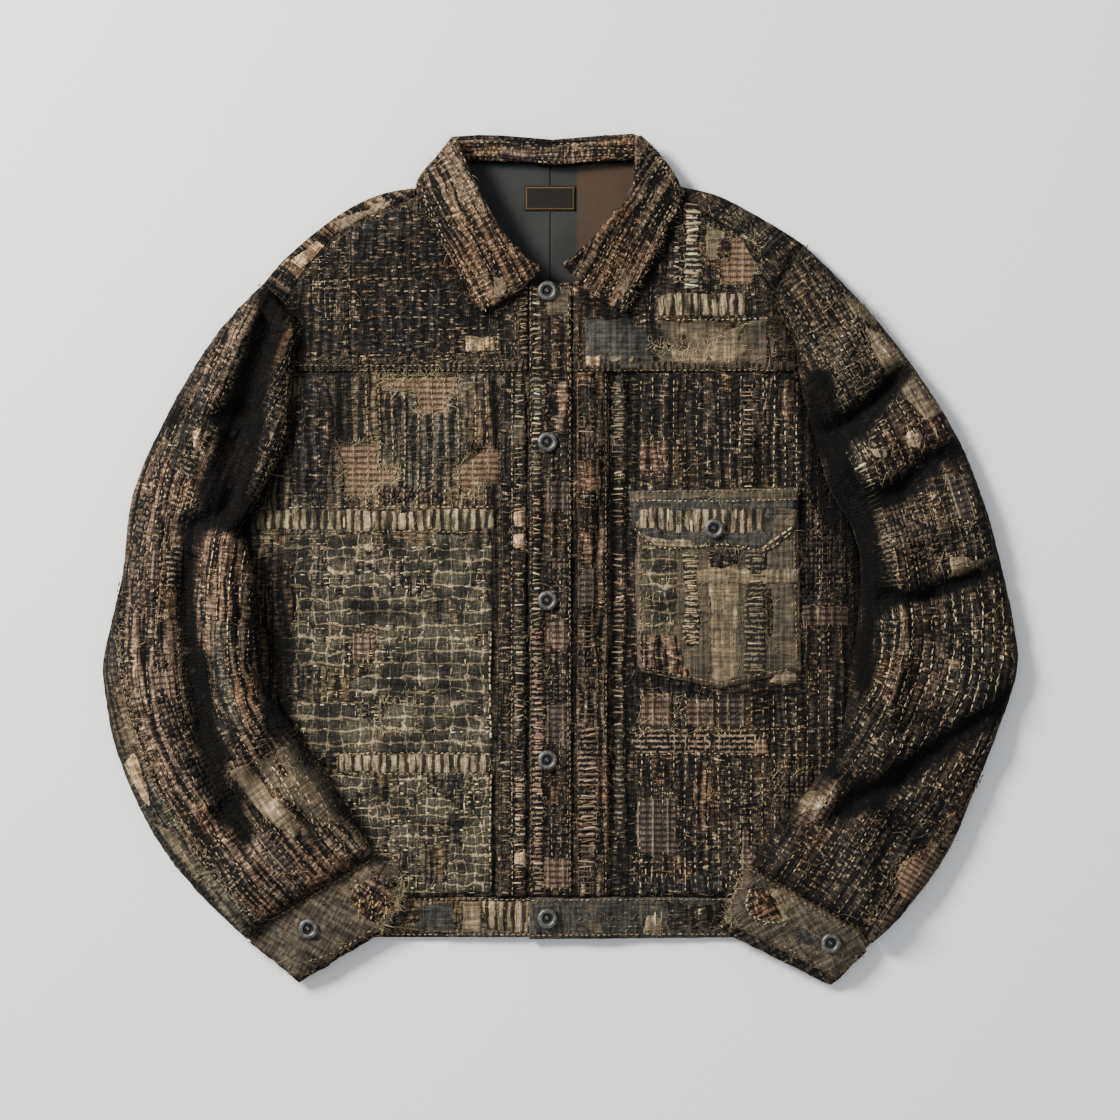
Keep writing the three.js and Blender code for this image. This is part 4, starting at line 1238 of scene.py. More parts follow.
    def lattice(self, pitch_u, pitch_v, colour, region=None, width=0.7, worn=-0.3, **more):
        """A loose raised grid of threads laid both ways."""
        self.rows(pitch_v, pitch_u * 0.86, pitch_u * 0.14, colour, region, False, width, worn=worn, **more)
        self.rows(pitch_u, pitch_v * 0.86, pitch_v * 0.14, colour, region, True, width, worn=worn, **more)

    def ladder(self, region, pitch, colour, width=2.4, keep=0.9, height=0.9):
        """Short bars across a narrow strip, one above the other."""
        u, side = self.grain.from_plane(*np.asarray(region, float).T)
        wide = side.max() - side.min()
        middle = (side.max() + side.min()) / 2
        lines = np.arange(u.min() + pitch / 2, u.max(), pitch)
        lines = lines + dice.normal(0, 0.12 * pitch, len(lines))
        lines = lines[dice.random(len(lines)) < keep]
        n = len(lines)
        half = wide / 2 * dice.uniform(0.6, 1.05, n)
        tilt = dice.normal(0, 0.5, n)
        shift = dice.normal(0, 0.06 * wide, n)
        a = np.column_stack(self.grain.to_plane(lines - tilt, middle + shift - half))
        b = np.column_stack(self.grain.to_plane(lines + tilt, middle + shift + half))
        stitches(self.threads, a, b, self.surface, width * pitch / 4.4 * dice.uniform(0.6, 1.3, n),
                 height * dice.uniform(0.6, 1.2, n), thread_tints(colour, n, 0.5))

    def seam(self, line, dash, gap, colour, width=0.9, height=0.5, keep=0.93, vary=0.3, stray=0.3):
        """A row of stitches along a drawn line."""
        line = spaced(smooth(line, 2.0) if len(line) > 2 else np.asarray(line, float), 0.5)
        along = 0.5 * np.arange(len(line))
        begin = np.arange(0, along[-1] - dash, dash + gap)
        begin = begin + dice.normal(0, 0.1 * gap, len(begin))
        begin = begin[dice.random(len(begin)) < keep]
        end = begin + dash * dice.uniform(0.8, 1.15, len(begin))
        read = lambda t: np.column_stack([np.interp(t, along, line[:, k]) for k in (0, 1)])
        n = len(begin)
        starts, ends = read(begin) + dice.normal(0, stray, (n, 2)), read(end) + dice.normal(0, stray, (n, 2))
        stitches(self.threads, starts, ends, self.surface, width * dice.uniform(0.8, 1.2, n),
                 height * dice.uniform(0.7, 1.3, n), thread_tints(colour, n, vary))

    def make(self, rests_on, stretch=1.0, cut=None, extra=0.0):
        """Makes the panel's pieces and works out its cut: the outline's own width, length and area."""
        cut = self.shape if cut is None else np.asarray(cut, float)
        # Threads take the same painted shade as the cloth under them.
        if self.shade:
            self.threads.darken(self.shade)
        made = [cloth.make() for cloth in (self.ground, self.patches, self.threads) if cloth.count]
        for piece in made:
            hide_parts(*self.nodes)
        turns = [StraightGrain(angle).from_plane(*cut.T) for angle in range(0, 90, 5)]
        wide, long = min(((np.ptp(v), np.ptp(u)) for u, v in turns), key=math.prod)
        area = min((abs(area_of(cut)) + extra) * stretch * MM * MM, wide * long * stretch * MM * MM)
        wide, long = wide * MM, long * stretch * MM
        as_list(made[1:])
        return made[0]


# ---------------------------------------------------------------- the body's panels

# Rows of stitching along seams: length of a stitch, gap, colour, width and height.
TOPSTITCH = (3.0, 1.6, SAND, 1.0, 0.6)
PALE_TOPSTITCH = (3.0, 1.6, CREAM, 1.0, 0.7)
FINE_TOPSTITCH = (3.0, 1.6, SAND, 0.9, 0.6)
LONG_TOPSTITCH = (3.0, 1.8, SAND, 1.0, 0.6)
LONG_PALE_TOPSTITCH = (3.0, 1.8, CREAM, 1.0, 0.6)
BARTACK = (1.5, 0.5, SAND, 0.9, 0.6)


def painted_shade(lines):
    """How far painted shade darkens the cloth in creases, along seams and beside raised parts: lines of (points, width,
    strength from 0 to 1).
    """
    return sampled(lambda x, y: np.clip(1.1 - folds(lines, x, y) + 0.34 * body_folds(x, y), 0.1, 1.1), 2)


# Painted shade on the fronts: in their creases, at the armholes and sides beside the sleeves, round the collar leaves
# and the pocket, along the pleats and seams, and over the right yoke.
BODY_PAINTED_SHADE = painted_shade([
    (right_armhole[::4], 13, 0.85), (left_armhole[::4], 12, 0.85), (right_side[::6], 10, 0.6),
    (left_side[::6], 12, 0.7), (pins(-107, 280, -66, 207, -38, 220), 7, 0.7),
    (pins(90, 273, 57, 206, 30, 216), 9, 0.8), (pins(104, 308, 92, 276), 8, 0.6),
    (pins(-54.6, -57, -54.6, -150), 3.2, 0.8), (pins(-54.6, -180, -54.6, -277), 3.2, 0.8),
    (pins(-27, 158, -27, -283), 3, 0.6), (pins(-53, 158, -53, -50), 2.6, 0.6), (pins(12, 158, 12, -283), 2.6, 0.7),
    (pins(46, 66, 46, -140), 3.6, 0.7), (pins(41.5, 157, 41.5, -283), 3.4, 0.7),
    (pins(57.5, 157, 57.5, -283), 3.2, 0.8),
    (pins(168, 106, 168, 60), 4.5, 0.8), (pins(204, 44, 207, -92, 140, -113, 66, -98), 5, 0.75),
    (pins(203, 62, 203, 20), 5, 0.7), (pins(-224, 158, 201, 158), 2.4, 0.5), (pins(-240, -283, 222, -283), 2.6, 0.6),
    (pins(-196, 156, -192, 100, -198, 46), 11, 0.5), (pins(-228, 20, -232, -140), 8, 0.4),
    (pins(-236, -190, -234, -282), 10, 0.5), (pins(222, 96, 238, 20, 246, -80), 13, 0.6),
    (pins(-240, -4, -236, -70, -230, -150), 15, 0.75), (pins(-70, 96, -62, 70, -56, 40), 3.4, 0.8),
    (pins(-57, 150, -55, 80, -56, -50), 2.4, 0.75), (pins(-180, 156, -184, 120, -180, 96), 7, 0.7),
    (pins(-160, 100, -172, 80, -176, 50), 6, 0.5), (pins(-92, 300, -84, 262), 5, 0.6),
    (pins(-190, 200, -60, 200), 34, 0.22), (pins(-170, 262, -96, 268), 24, 0.2),
])


def shifted(top, up):
    return lambda x, y: top(x, y) + up


def front_panel(name, slot, shape, top, finish, seed, thickness=FRONT_CLOTH, **more):
    """A panel of the fronts, with painted shade in their creases."""
    return Panel(name, slot, shape, top, thickness, finish, seed=seed, shade=BODY_PAINTED_SHADE, **more)


def back_panel():
    """The back, which shows only as a hem and at the neck: finished plainly."""
    panel = Panel("back_panel", "boro_dark", body_outline, back_top, BACK_CLOTH, "charcoal", step=9, dip=0.6)
    for y in (HEM + 3, BAND_SEAM):
        panel.seam([(-236, y), (218, y)], 2.6, 1.8, SAND)
    panel.make([])


def neck_lining():
    shape = outline(back_neck - (0, 1), pins(92, 300, 100, 240, 60, 205, -90, 205, -118, 240, -108, 300))
    top = crumpled(shifted(back_top, GAP + LINING), 0.35, 5)
    lining = Panel("neck_lining", "lining_cloth", shape, top, LINING, "lining", fray=0, dip=0)
    lining.seam(pins(-30, 292.5, 13, 292.5), 1.6, 1.2, KHAKI, 0.4, 0.2)
    lining.make("back_panel")

    under = shifted(back_top, 2 * GAP + LINING)
    label = Panel("neck_label", "label_cloth", box(-30, 13, 294, 315), shifted(under, LABEL_CLOTH), LABEL_CLOTH,
                  "label", fray=0, dip=0.2, step=2)
    label.seam(pins(-29, 295, 12, 295, 12, 314, -29, 314), 1, 0.8, KHAKI, 0.3, 0.15)
    label.make("neck_lining")


def shoulders():
    """The strips of the back that show above each yoke's shoulder seam."""
    right = outline(right_shoulder, between(right_armhole, 214, 231), right_roll_edge[::-1])
    left = outline(left_shoulder, between(left_armhole, 221, 264)[::-1], left_roll_edge[::-1])
    for name, slot, shape, finish, angle in (
        ("right_shoulder", "boro_brown", right, "umber", 145), ("left_shoulder", "boro_dark", left, "charcoal", 40),
    ):
        grain = StraightGrain(angle)
        top = quilted(front_top, grain, 0, 6, 1, 1, 3)
        panel = front_panel(name, slot, shape, top, finish, 4, grain=grain)
        if name == "right_shoulder":
            panel.patch(pins(-190, 284, -172, 293, -152, 301, -142, 298, -160, 289, -182, 276), "khaki")
            panel.patch(pins(-226, 252, -205, 268, -196, 262, -218, 245), "cream", fray=0.9)
        panel.rows(6, 3.4, 2, KHAKI, width=1, keep=0.75)
        panel.loose(60, SAND, 7)
        panel.make("back_panel")


def right_yoke():
    shape = outline(right_roll_edge, between(right_armhole, 158, 212)[::-1], pins(-224.5, 158, -26, 158),
                    right_neck[::-1])
    top = quilted(front_top, UPRIGHT, 10.6, 5.2, 1.1, 1.2, 11)
    panel = front_panel("right_yoke", "boro_dark", shape, top, "charcoal", 11)
    panel.patch(pins(-128, 300, -155, 290, -178, 276, -176, 248, -150, 251, -96, 249, -92, 262, -112, 285), "indigo",
                0.4, 1, 0.3)
    panel.patch(pins(-178, 236, -100, 238, -62, 214, -62, 172, -178, 172), "indigo", 0.3, 1, 0.2)
    panel.patch(pins(-79, 188, -56, 187, -54, 176, -80, 175), "cream", 0.8, 1.1, 0.9, CREAM)
    panel.patch(pins(-56, 217, -37, 219, -36, 178, -55, 180), "charcoal", 0.6, 0.8, 0.8)
    panel.patch(pins(-35.5, 228, -26.6, 231, -26.6, 172, -35.5, 172), "rose_ladder", 0.7, 0.4)
    panel.patch(pins(-208, 250, -190, 263, -178, 262, -178, 193, -204, 193, -213, 214), "charcoal", 0.4, 0.7, 0.4)
    panel.patch(box(-222, -27, 158.6, 168), "dim_ticks", 0.5, 0.6, 0.35)
    wide = pins(-178, 168, -60, 168, -60, 232, -98, 285, -150, 292, -178, 276)
    panel.rows(10.6, 5.2, 2, SAND, wide, True, 1.3, 0.7, 0.85, 1.3, 3, worn=-0.3)
    panel.rows(5.2, 3.4, 2.6, UMBER, wide, False, 1.2, 0.4, 0.7, worn=-0.2)
    panel.lattice(5.6, 5.2, SAND, pins(-212, 252, -176, 266, -176, 192, -206, 190), 0.8, worn=-0.55)
    panel.rows(5, 4, 2, CREAM, pins(-212, 252, -176, 266, -176, 230, -206, 230), True, 1, 0.6, 0.8)
    panel.lattice(6.5, 5, KHAKI, box(-60, -36, 168, 228), 0.8, worn=-0.2)
    panel.ladder(box(-35, -27, 172, 229), 3.6, ROSE, 1.5)
    for y in (163.4, 159.4):
        panel.seam([(-224, y), (-28, y)], *TOPSTITCH)
    panel.ladder(box(-222, -28, 158.6, 168), 3, KHAKI, 0.9, 0)
    panel.seam(pins(-38, 172, -37, 226), 2.6, 1.6, SAND)
    panel.seam(right_roll_edge + (1, -4), 3, 2, KHAKI)
    panel.fringe(pins(-222, 169, -150, 169.5, -60, 168.5, -28, 169), 0.8, SAND, 4.5)
    panel.loose(190, SAND, 9)
    panel.loose(120, KHAKI, 6)
    panel.make("back_panel")


LEFT_YOKE_HOLE = pins(144, 272, 155, 271, 166, 262.5, 169, 253, 166, 244, 158, 231.5, 138, 231.5, 132, 250.5, 141.5,
                      255)


def left_yoke():
    shape = outline(left_neck, pins(11, 158, 201, 158), between(left_armhole, 158, 220.5)[::-1], left_roll_edge[::-1])
    top = quilted(left_front_top, UPRIGHT, 0, 8.4, 1, 1.3, 21)
    panel = front_panel("left_yoke", "boro_grey", shape, top, "charcoal", 21, holes=[LEFT_YOKE_HOLE])
    panel.open_hole("plaid", CREAM, 1.3)
    panel.patch(pins(104, 302, 118, 293, 120, 228, 105, 228), "ladder", 0.9, 0.9, 0.7, CREAM)
    panel.patch(pins(121, 285, 143, 276, 132, 258, 141, 252, 122, 250), "khaki", 0.8, 1.3, 1.2)
    panel.patch(pins(82, 225, 158, 224, 157, 206, 82, 205), "ticks", 0.8, 0.7, 0.8, CREAM)
    panel.patch(pins(60, 203, 97, 226, 84, 250, 66, 240, 52, 212), "charcoal", 0.4, 0.6, 0.3)
    panel.patch(pins(80, 203, 175, 203, 176, 161, 80, 161, 76, 182, 90, 178), "olive", 0.5, 0.7, 0.4)
    panel.patch(pins(92, 176, 107, 175, 124, 180.4, 136.6, 191.3, 153.6, 197.5, 150, 184, 158, 176, 146, 166, 118, 163,
                     98, 168), "khaki", 1.2, 1.4, 1.4, CREAM)
    panel.patch(pins(21, 203, 58, 203, 78, 186, 79, 160, 21, 160), "grey", 0.6, 0.5, 0.3)
    panel.patch(pins(22, 171, 34, 172, 33, 163, 22, 163), "cream", 1, 0.8, 0.8)
    panel.patch(pins(42, 171, 62, 171, 61, 166, 43, 166), "khaki", 1, 0.8, 0.7)
    panel.patch(pins(164, 228, 196, 204, 198, 170, 178, 168, 176, 204), "umber", 0.4, 0.8, 0.5)
    panel.patch(box(12, 200, 158.6, 167), "dim_ticks", 0.5, 0.6, 0.35)
    panel.rows(8.4, 5, 3, SAND, pins(60, 200, 100, 290, 103, 228, 82, 205), worn=-0.7)
    panel.rows(9, 4.4, 3.4, KHAKI, pins(120, 292, 165, 250, 180, 215, 160, 228, 128, 228), True, keep=0.6)
    panel.lattice(6, 6, SAND, pins(160, 256, 196, 210, 196, 168, 176, 170, 172, 226), 0.9, worn=-0.2)
    panel.ladder(pins(104, 302, 119, 293, 119, 228, 105, 228), 5.2, CREAM, 2.2, 0.85)
    panel.ladder(box(95, 101, 232, 296), 4.2, SAND, 1.5, 0.85)
    panel.rows(4.6, 12, 4, CREAM, box(83, 157, 206, 224), False, 1.7, 0.7, 0.62)
    panel.seam(pins(80, 203, 130, 202, 176, 203.5), *PALE_TOPSTITCH)
    panel.seam(pins(12, 159.4, 200, 159.4), *TOPSTITCH)
    panel.seam(pins(14, 204, 18, 162), 2.8, 1.6, KHAKI)
    panel.seam(left_roll_edge + (-2, -4), 3, 2, KHAKI)
    for _ in range(4):
        panel.fringe(pins(76, 182, 90, 176.6, 107, 175, 124, 180.4, 136.6, 191.3, 153.6, 197.5), 0.5, CREAM, 7)
    panel.fringe(pins(168, 232, 180, 200, 178, 168), 1, SAND, 6)
    panel.fringe(pins(150, 284, 160, 272, 168, 262), 1.4, CREAM, 7)
    panel.loose(240, SAND, 9)
    panel.loose(60, CREAM, 13)
    panel.make("back_panel")


RIGHT_HOLES = [
    pins(-154, 154, -86.5, 155, -85, 141.5, -94, 138.4, -95.5, 125, -119.7, 123.4, -121, 138.4, -128.5, 141.5,
         -148, 142.4),
    pins(-188.6, 98, -154, 99.5, -154, 80, -134.8, 75.4, -133, 68, -154, 63.4, -160, 53, -181, 53, -184, 84.4),
    pins(-85.3, 78.5, -67, 93.7, -50.8, 95, -47.5, 65, -68.5, 63.4, -71.8, 53, -83.6, 53),
    pins(-150, -121, -122, -122, -123, -144, -149, -143),
]


def right_front():
    shape = outline(pins(-26, 158, -224.5, 158), between(right_armhole, 26.5, 158), right_side,
                    [(10, BAND_SEAM), (10, 222), (-26, 222)])
    upper = quilted(front_top, UPRIGHT, 0, 10.6, 1.3, 1.3, 31)
    lower = quilted(front_top, UPRIGHT, 11, 13, 1.1, 1.2, 32)
    check = quilted(front_top, UPRIGHT, 8, 8, 1.4, 1, 33)

    def top(x, y):
        low = ease((30 - y) / 8)
        lowest = ease((-178 - y) / 6)
        z = upper(x, y) * (1 - low) + (lower(x, y) * (1 - lowest) + check(x, y) * lowest) * low
        return z - 2.2 * np.exp(-(((x + 54.6) / 2.6) ** 2)) * ease((-57 - y) / 12)

    panel = front_panel("right_front", "boro_grey", shape, top, "greygreen", 31, holes=RIGHT_HOLES)
    panel.open_hole("plaid", CREAM, 1.5)
    panel.patch(pins(-224, 157, -196, 157, -188, 120, -196, 46, -226, 46), "indigo", 0.3, 0.6, 0.3)
    panel.patch(pins(-232, 21, -57, 21, -57, -162, -236, -162), "grid", 0.2, 0.3, 0, dip=0)
    panel.patch(pins(-202, -181, -57, -181, -57, -280, -204, -280), "check", 0.2, 0.3, 0, dip=0)
    panel.patch(pins(-174, 157, -156, 157, -152, 142, -156, 101, -172, 99), "greygreen", 0.7, 1.2, 0.7)
    panel.patch(pins(-120, 120, -88, 122, -70, 96, -88, 78, -130, 80, -150, 100, -126, 106), "greygreen", 0.7, 1.4, 0.9)
    panel.patch(pins(-84, 156, -54, 156, -54, 98, -68, 95, -80, 112), "greygreen", 0.6, 1.1, 0.7)
    panel.patch(pins(-150, 62, -128, 66, -90, 58, -88, 46, -152, 46), "umber_nubs", 0.5, 1.3, 0.8)
    panel.patch(pins(-262, 26, -252, 43, -53, 43, -53, 25, -200, 24), "ticks", 0.9, 1, colour=CREAM)
    panel.patch(pins(-243, 75, -224, 77, -224, 48, -254, 47), "greygreen", 0.8, 0.6, 0.5)
    panel.patch(pins(-226, 153, -217, 153, -219, 140, -227, 140), "cream", 0.8, 0.8, 0.8)
    panel.patch(pins(-175, -61, -154, -62, -155, -88, -174, -87), "rose_plaid", 0.8, 1, 0.9)
    panel.patch(pins(-250, 20, -222, 22, -220, -60, -252, -58), "umber", 0.4, 0.7, 0.4)
    panel.patch(box(-228, -186, -176, -164), "charcoal", 0.4, 0.6, 0.4)
    panel.patch(box(-185, -57, -179, -163.5), "ticks", 0.9, 0.9, 0.9, CREAM)
    panel.patch(box(-236, -202, -281, -182), "indigo", 0.3, 0.7, 0.3)
    panel.patch(box(-118, -92, -275, -215), "greygreen", 0.4, 1, 0.4)
    for x in (-163, -152.5, -142, -131.5, -120, -108, -97, -86.5, -72, -62.6):
        panel.seam([(x, 46), (x + 1.5, 100), (x - 0.5, 155)], 4, 1.2, SAND, 1.6, 0.9, 0.92)
        panel.fringe([(x, 46), (x, 154)], 0.5, SAND, 3.4)
    panel.rows(9, 3.4, 2.6, KHAKI, box(-224, -170, 46, 156), False, 0.9, worn=-0.6)
    panel.rows(10.5, 2.4, 9, KHAKI, box(-168, -56, 46, 156), True, 1, keep=0.6, avoid=RIGHT_HOLES[:3])
    panel.rows(4.4, 12, 4, CREAM, box(-226, -54, 26, 42.5), False, 1.8, 0.7, 0.62)
    panel.seam(pins(-228, 44.5, -150, 45, -54, 44.5), *PALE_TOPSTITCH)
    panel.seam(pins(-228, 23.5, -150, 24, -54, 23.5), *TOPSTITCH)
    grid = pins(-226, 21, -57, 21, -57, -160, -232, -160)
    panel.rows(11, 4.2, 5.4, CREAM, grid, True, 1.2, 0.7, 0.55, 2.2, worn=-0.8, vary=0.5, avoid=RIGHT_HOLES[3:])
    panel.rows(13, 4, 5.6, SAND, grid, False, 1.1, 0.6, 0.55, 2.2, worn=-0.8, vary=0.5, avoid=RIGHT_HOLES[3:])
    panel.lattice(5.5, 5.6, SAND, grid, 0.8, worn=-0.1, keep=0.5, wander=1.8, vary=0.55, offset=2,
                  avoid=RIGHT_HOLES[3:])
    panel.rows(5.4, 4.2, 3, CREAM, pins(-130, 18, -60, 18, -60, -60, -100, -40), True, 0.9, worn=0.1)
    panel.rows(9, 4, 2.6, MAUVE, pins(-252, 20, -228, 20, -236, -160, -250, -150), False, 1.1)
    panel.seam(pins(-187, -163, -120, -162, -57, -163), *LONG_PALE_TOPSTITCH)
    panel.seam(pins(-187, -179.5, -120, -180, -57, -179.5), *LONG_TOPSTITCH)
    panel.rows(4.6, 11, 3, CREAM, box(-184, -58, -178, -164.5), False, 1.8, 0.7, 0.62)
    low = box(-202, -57, -280, -181)
    panel.lattice(8, 8, SAND, low, 1.2, worn=-0.3, keep=0.5, wander=1.4)
    panel.rows(8, 3.4, 4.6, CREAM, low, True, 1.6, 0.6, 0.4, offset=4)
    panel.rows(9.3, 3.4, 2.6, SAND, box(-238, -202, -280, -165), False, 0.9)
    for y0, y1 in ((-60, -150), (-180, -276)):
        panel.seam([(-58, y0), (-59, (y0 + y1) / 2), (-58, y1)], 4.2, 0.8, CREAM, 2, 1.2)
    panel.seam(pins(-24, 155, -24, -280), 2.8, 1.8, KHAKI)
    panel.ladder(box(-252, -240, 0, 24), 4, KHAKI, 1.2)
    for hole in RIGHT_HOLES:
        panel.loose(26, CREAM, 9, hole)
        panel.fringe(np.vstack([hole, hole[:1]]), 1.2, CREAM, 6, 1.1, 0.22)
    panel.loose(420, SAND, 9)
    panel.loose(160, CREAM, 12)
    panel.make("back_panel")


def right_pleat():
    top = crumpled(shifted(front_top, GAP + STRIP), 1.1, 41)
    shape = box(-52, -28, BAND_SEAM, YOKE_SEAM)
    panel = front_panel("right_pleat", "boro_grey", shape, top, "charcoal", 41, STRIP, dip=1.4)
    for (y0, y1), finish in (
        ((44, 25), "cream"), ((22, 8), "cream"), ((-60, -95), "khaki_ladder"), ((-243, -258), "cream"),
        ((-110, -150), "greygreen"), ((-180, -236), "ladder"), ((120, 96), "olive"),
    ):
        panel.patch(box(-41, -29, min(y0, y1), max(y0, y1)), finish, 0.6, 0.7, 0.7, CREAM)
    panel.seam(pins(-40, 157, -40.5, -60, -40, -282), 3, 1.4, SAND, 1.1, 0.7)
    panel.seam(pins(-50, 157, -50.5, -60, -50, -282), 2.8, 1.8, KHAKI, 0.9, 0.5)
    panel.ladder(box(-39, -30, -282, 157), 4.4, SAND, 1.4, 0.75)
    panel.ladder(box(-50, -41, -282, -60), 5.4, KHAKI, 1.4, 0.6)
    panel.loose(90, SAND, 7)
    panel.make("right_front")


def left_placket():
    top = quilted(placket_top, UPRIGHT, 8, 11, 0.9, 1, 51)
    shape = box(PLACKET_EDGE, PLACKET_SEAM, BAND_SEAM, 233)
    panel = front_panel("left_placket", "boro_brown", shape, top, "charcoal", 51, dip=1.5)
    for y0, y1, finish in (
        (150, 108, "umber"), (70, 40, "plum_plaid"), (4, -22, "umber_nubs"), (-50, -96, "rose_plaid"),
        (-120, -158, "plum_plaid"), (-190, -236, "umber"), (-250, -276, "rose_plaid"), (228, 205, "olive"),
    ):
        panel.patch(box(-13, 9, y1, y0), finish, 0.4, 0.8, 0.5)
    panel.patch(box(-24, -14, 60, 156), "khaki_ladder", 0.4, 0.6, 0.4)
    panel.patch(box(-24, -13, -280, -60), "rose_ladder", 0.4, 0.6, 0.4)
    panel.ladder(box(-24, -15, -60, 230), 4.2, SAND, 1.7, 0.85)
    panel.ladder(box(-23, -13, -282, -60), 4.2, ROSE, 1.9, 0.9)
    panel.rows(5.5, 3.2, 2.4, KHAKI, box(-13, 8, -282, 232), True, 0.9, keep=0.7, worn=-0.2)
    panel.rows(7, 3.6, 2.4, SAND, box(-12, 8, -282, 232), False, 0.8, keep=0.8, worn=-0.3)
    panel.seam(pins(8.6, 230, 8.4, -60, 8.6, -281), *FINE_TOPSTITCH)
    panel.seam(pins(-24.6, 230, -24.4, -60, -24.6, -281), 2.8, 1.8, SAND, 0.9, 0.6)
    for y in (226, 99, -34, -168):
        panel.seam([(-22, y + 1.4), (1, y + 1.4)], 1.6, 0.5, KHAKI, 0.9, 0.6)
    panel.loose(130, SAND, 7)
    panel.loose(50, CREAM, 10)
    panel.make("right_front")


def left_front():
    shape = outline([(PLACKET_SEAM, 158), (201, 158)], between(left_armhole, 32, 158), left_side,
                    [(PLACKET_SEAM, BAND_SEAM)])
    plain = quilted(left_front_top, UPRIGHT, 0, 9.35, 1.7, 1.4, 61)

    def top(x, y):
        deep = 1.8 * np.exp(-(((x - 46) / 3.2) ** 2)) + 1.5 * np.exp(-(((x - 57.4) / 2) ** 2))
        fold = 2.4 * np.exp(-(((x - 168) / 4) ** 2)) * ease((y - 55) / 12) * ease((108 - y) / 12)
        return plain(x, y) - deep - fold

    panel = front_panel("left_front", "boro_brown", shape, top, "charcoal", 61)
    panel.patches_of((
        (box(151, 165, 62, 152), "umber_nubs", 0.4), (box(66, 96, 70, 104), "umber", 0.3),
        (box(170, 200, 110, 155), "umber", 0.3), (box(43, 56, 66, 152), "khaki_ladder", 0.4),
        (pins(206, 60, 228, 34, 246, 8, 246, -30, 204, -32), "umber_nubs", 0.4),
        (box(204, 244, -56, -38), "rose_plaid", 0.7), (box(206, 243, -110, -62), "charcoal", 0.3),
        (box(66, 94, -140, -112), "rose_plaid", 0.7), (box(104, 130, -140, -117), "rose_plaid", 0.8),
        (box(134, 158, -140, -112), "plum_plaid", 0.6), (box(62, 176, -163, -143), "rose_ladder", 0.6),
        (box(163, 174, -163, -151), "plaid", 0.9), (box(62, 100, -250, -200), "plum_plaid", 0.3),
        (box(112, 128, -232, -176), "umber", 0.4), (box(150, 168, -262, -212), "rose_plaid", 0.3),
        (box(180, 222, -262, -176), "umber_nubs", 0.3), (box(60, 222, -281, -264), "indigo", 0.4),
        (box(176, 200, -104, -82), "khaki", 0.6), (box(44, 55, -236, -140), "khaki_ladder", 0.4),
        (box(43, 55, -60, -20), "rose_ladder", 0.5), (box(44, 55, 26, 46), "khaki", 0.5),
    ), 1, 0.5)
    panel.rows(9.35, 3.5, 2.6, SAND, box(62, 150, 60, 156), False, 1, worn=-0.8, offset=2.5)
    panel.rows(9.35, 3.5, 2.6, CREAM, box(150, 202, 60, 156), False, 1, worn=-0.7, offset=2.5)
    panel.ladder(box(152, 164, 56, 150), 4, SAND, 1.5)
    panel.ladder(box(43, 55, 80, 152), 4.4, KHAKI, 1.6, 0.85)
    panel.ladder(box(43, 55, -140, 78), 4.6, SAND, 1.7, 0.7)
    panel.rows(9.35, 3.5, 2.6, SAND, pins(200, 60, 214, 100, 244, 32, 250, -20, 236, -140, 204, -140), False, 1,
               worn=-0.5, offset=2.5)
    panel.lattice(5, 5, MAUVE, pins(206, 56, 228, 34, 246, 8, 246, -30, 206, -32), 1.1, worn=-0.3)
    panel.rows(9.35, 3.6, 2.4, SAND, pins(62, -112, 200, -112, 240, -112, 222, -281, 62, -281), False, 1.1, worn=-0.8,
               offset=2.5)
    panel.rows(4.7, 2.2, 7, MAUVE, pins(62, -165, 238, -165, 222, -262, 62, -262), True, 1.2, 0.4, 0.7)
    panel.rows(4.2, 5, 2.4, ROSE, box(64, 172, -162, -144), False, 1.4, keep=0.75)
    panel.seam(pins(62, -142, 120, -143, 236, -141), *TOPSTITCH)
    panel.seam(pins(62, -164, 120, -163, 236, -165), *LONG_PALE_TOPSTITCH)
    panel.seam(pins(62, -254, 140, -254, 222, -254), *TOPSTITCH)
    panel.rows(4.8, 5, 3, SAND, box(62, 221, -277, -256), False, 1)
    panel.ladder(box(60, 66, 60, 156), 5, KHAKI, 1, 0.7)
    panel.loose(34, CREAM, 14, box(168, 192, -206, -170), curl=1.8)
    panel.loose(300, SAND, 8)
    panel.loose(130, CREAM, 11)
    panel.loose(60, CREAM, 12, box(62, 130, -145, -112))
    panel.make("left_placket")


def left_pleat():
    top = crumpled(shifted(left_front_top, GAP + STRIP), 1.1, 71)
    shape = box(14, 41, BAND_SEAM, YOKE_SEAM)
    panel = front_panel("left_pleat", "boro_brown", shape, top, "umber", 71, STRIP, dip=1.6)
    for y0, y1, finish in (
        (150, 120, "charcoal"), (60, 20, "charcoal"), (-2, -40, "plum_plaid"), (-70, -112, "umber_nubs"),
        (-140, -237, "rose_ladder"), (-245, -275, "umber_nubs"), (112, 84, "umber_nubs"),
    ):
        panel.patch(box(15, 33, y1, y0), finish, 0.4, 0.8, 0.6)
    panel.rows(5.2, 3.6, 2.2, KHAKI, None, False, 0.9, keep=0.8, worn=-0.3)
    panel.ladder(box(15, 31, -282, 157), 4.4, MAUVE, 1.7, 0.8)
    panel.ladder(box(18, 32, -237, -140), 4.6, ROSE, 1.9, 0.8)
    panel.seam(pins(38.5, 157, 38.8, -60, 38.5, -282), *TOPSTITCH)
    panel.fringe(pins(40.5, 156, 40.5, -281), 0.5, SAND, 4)
    panel.loose(110, SAND, 7)
    panel.make("left_front")


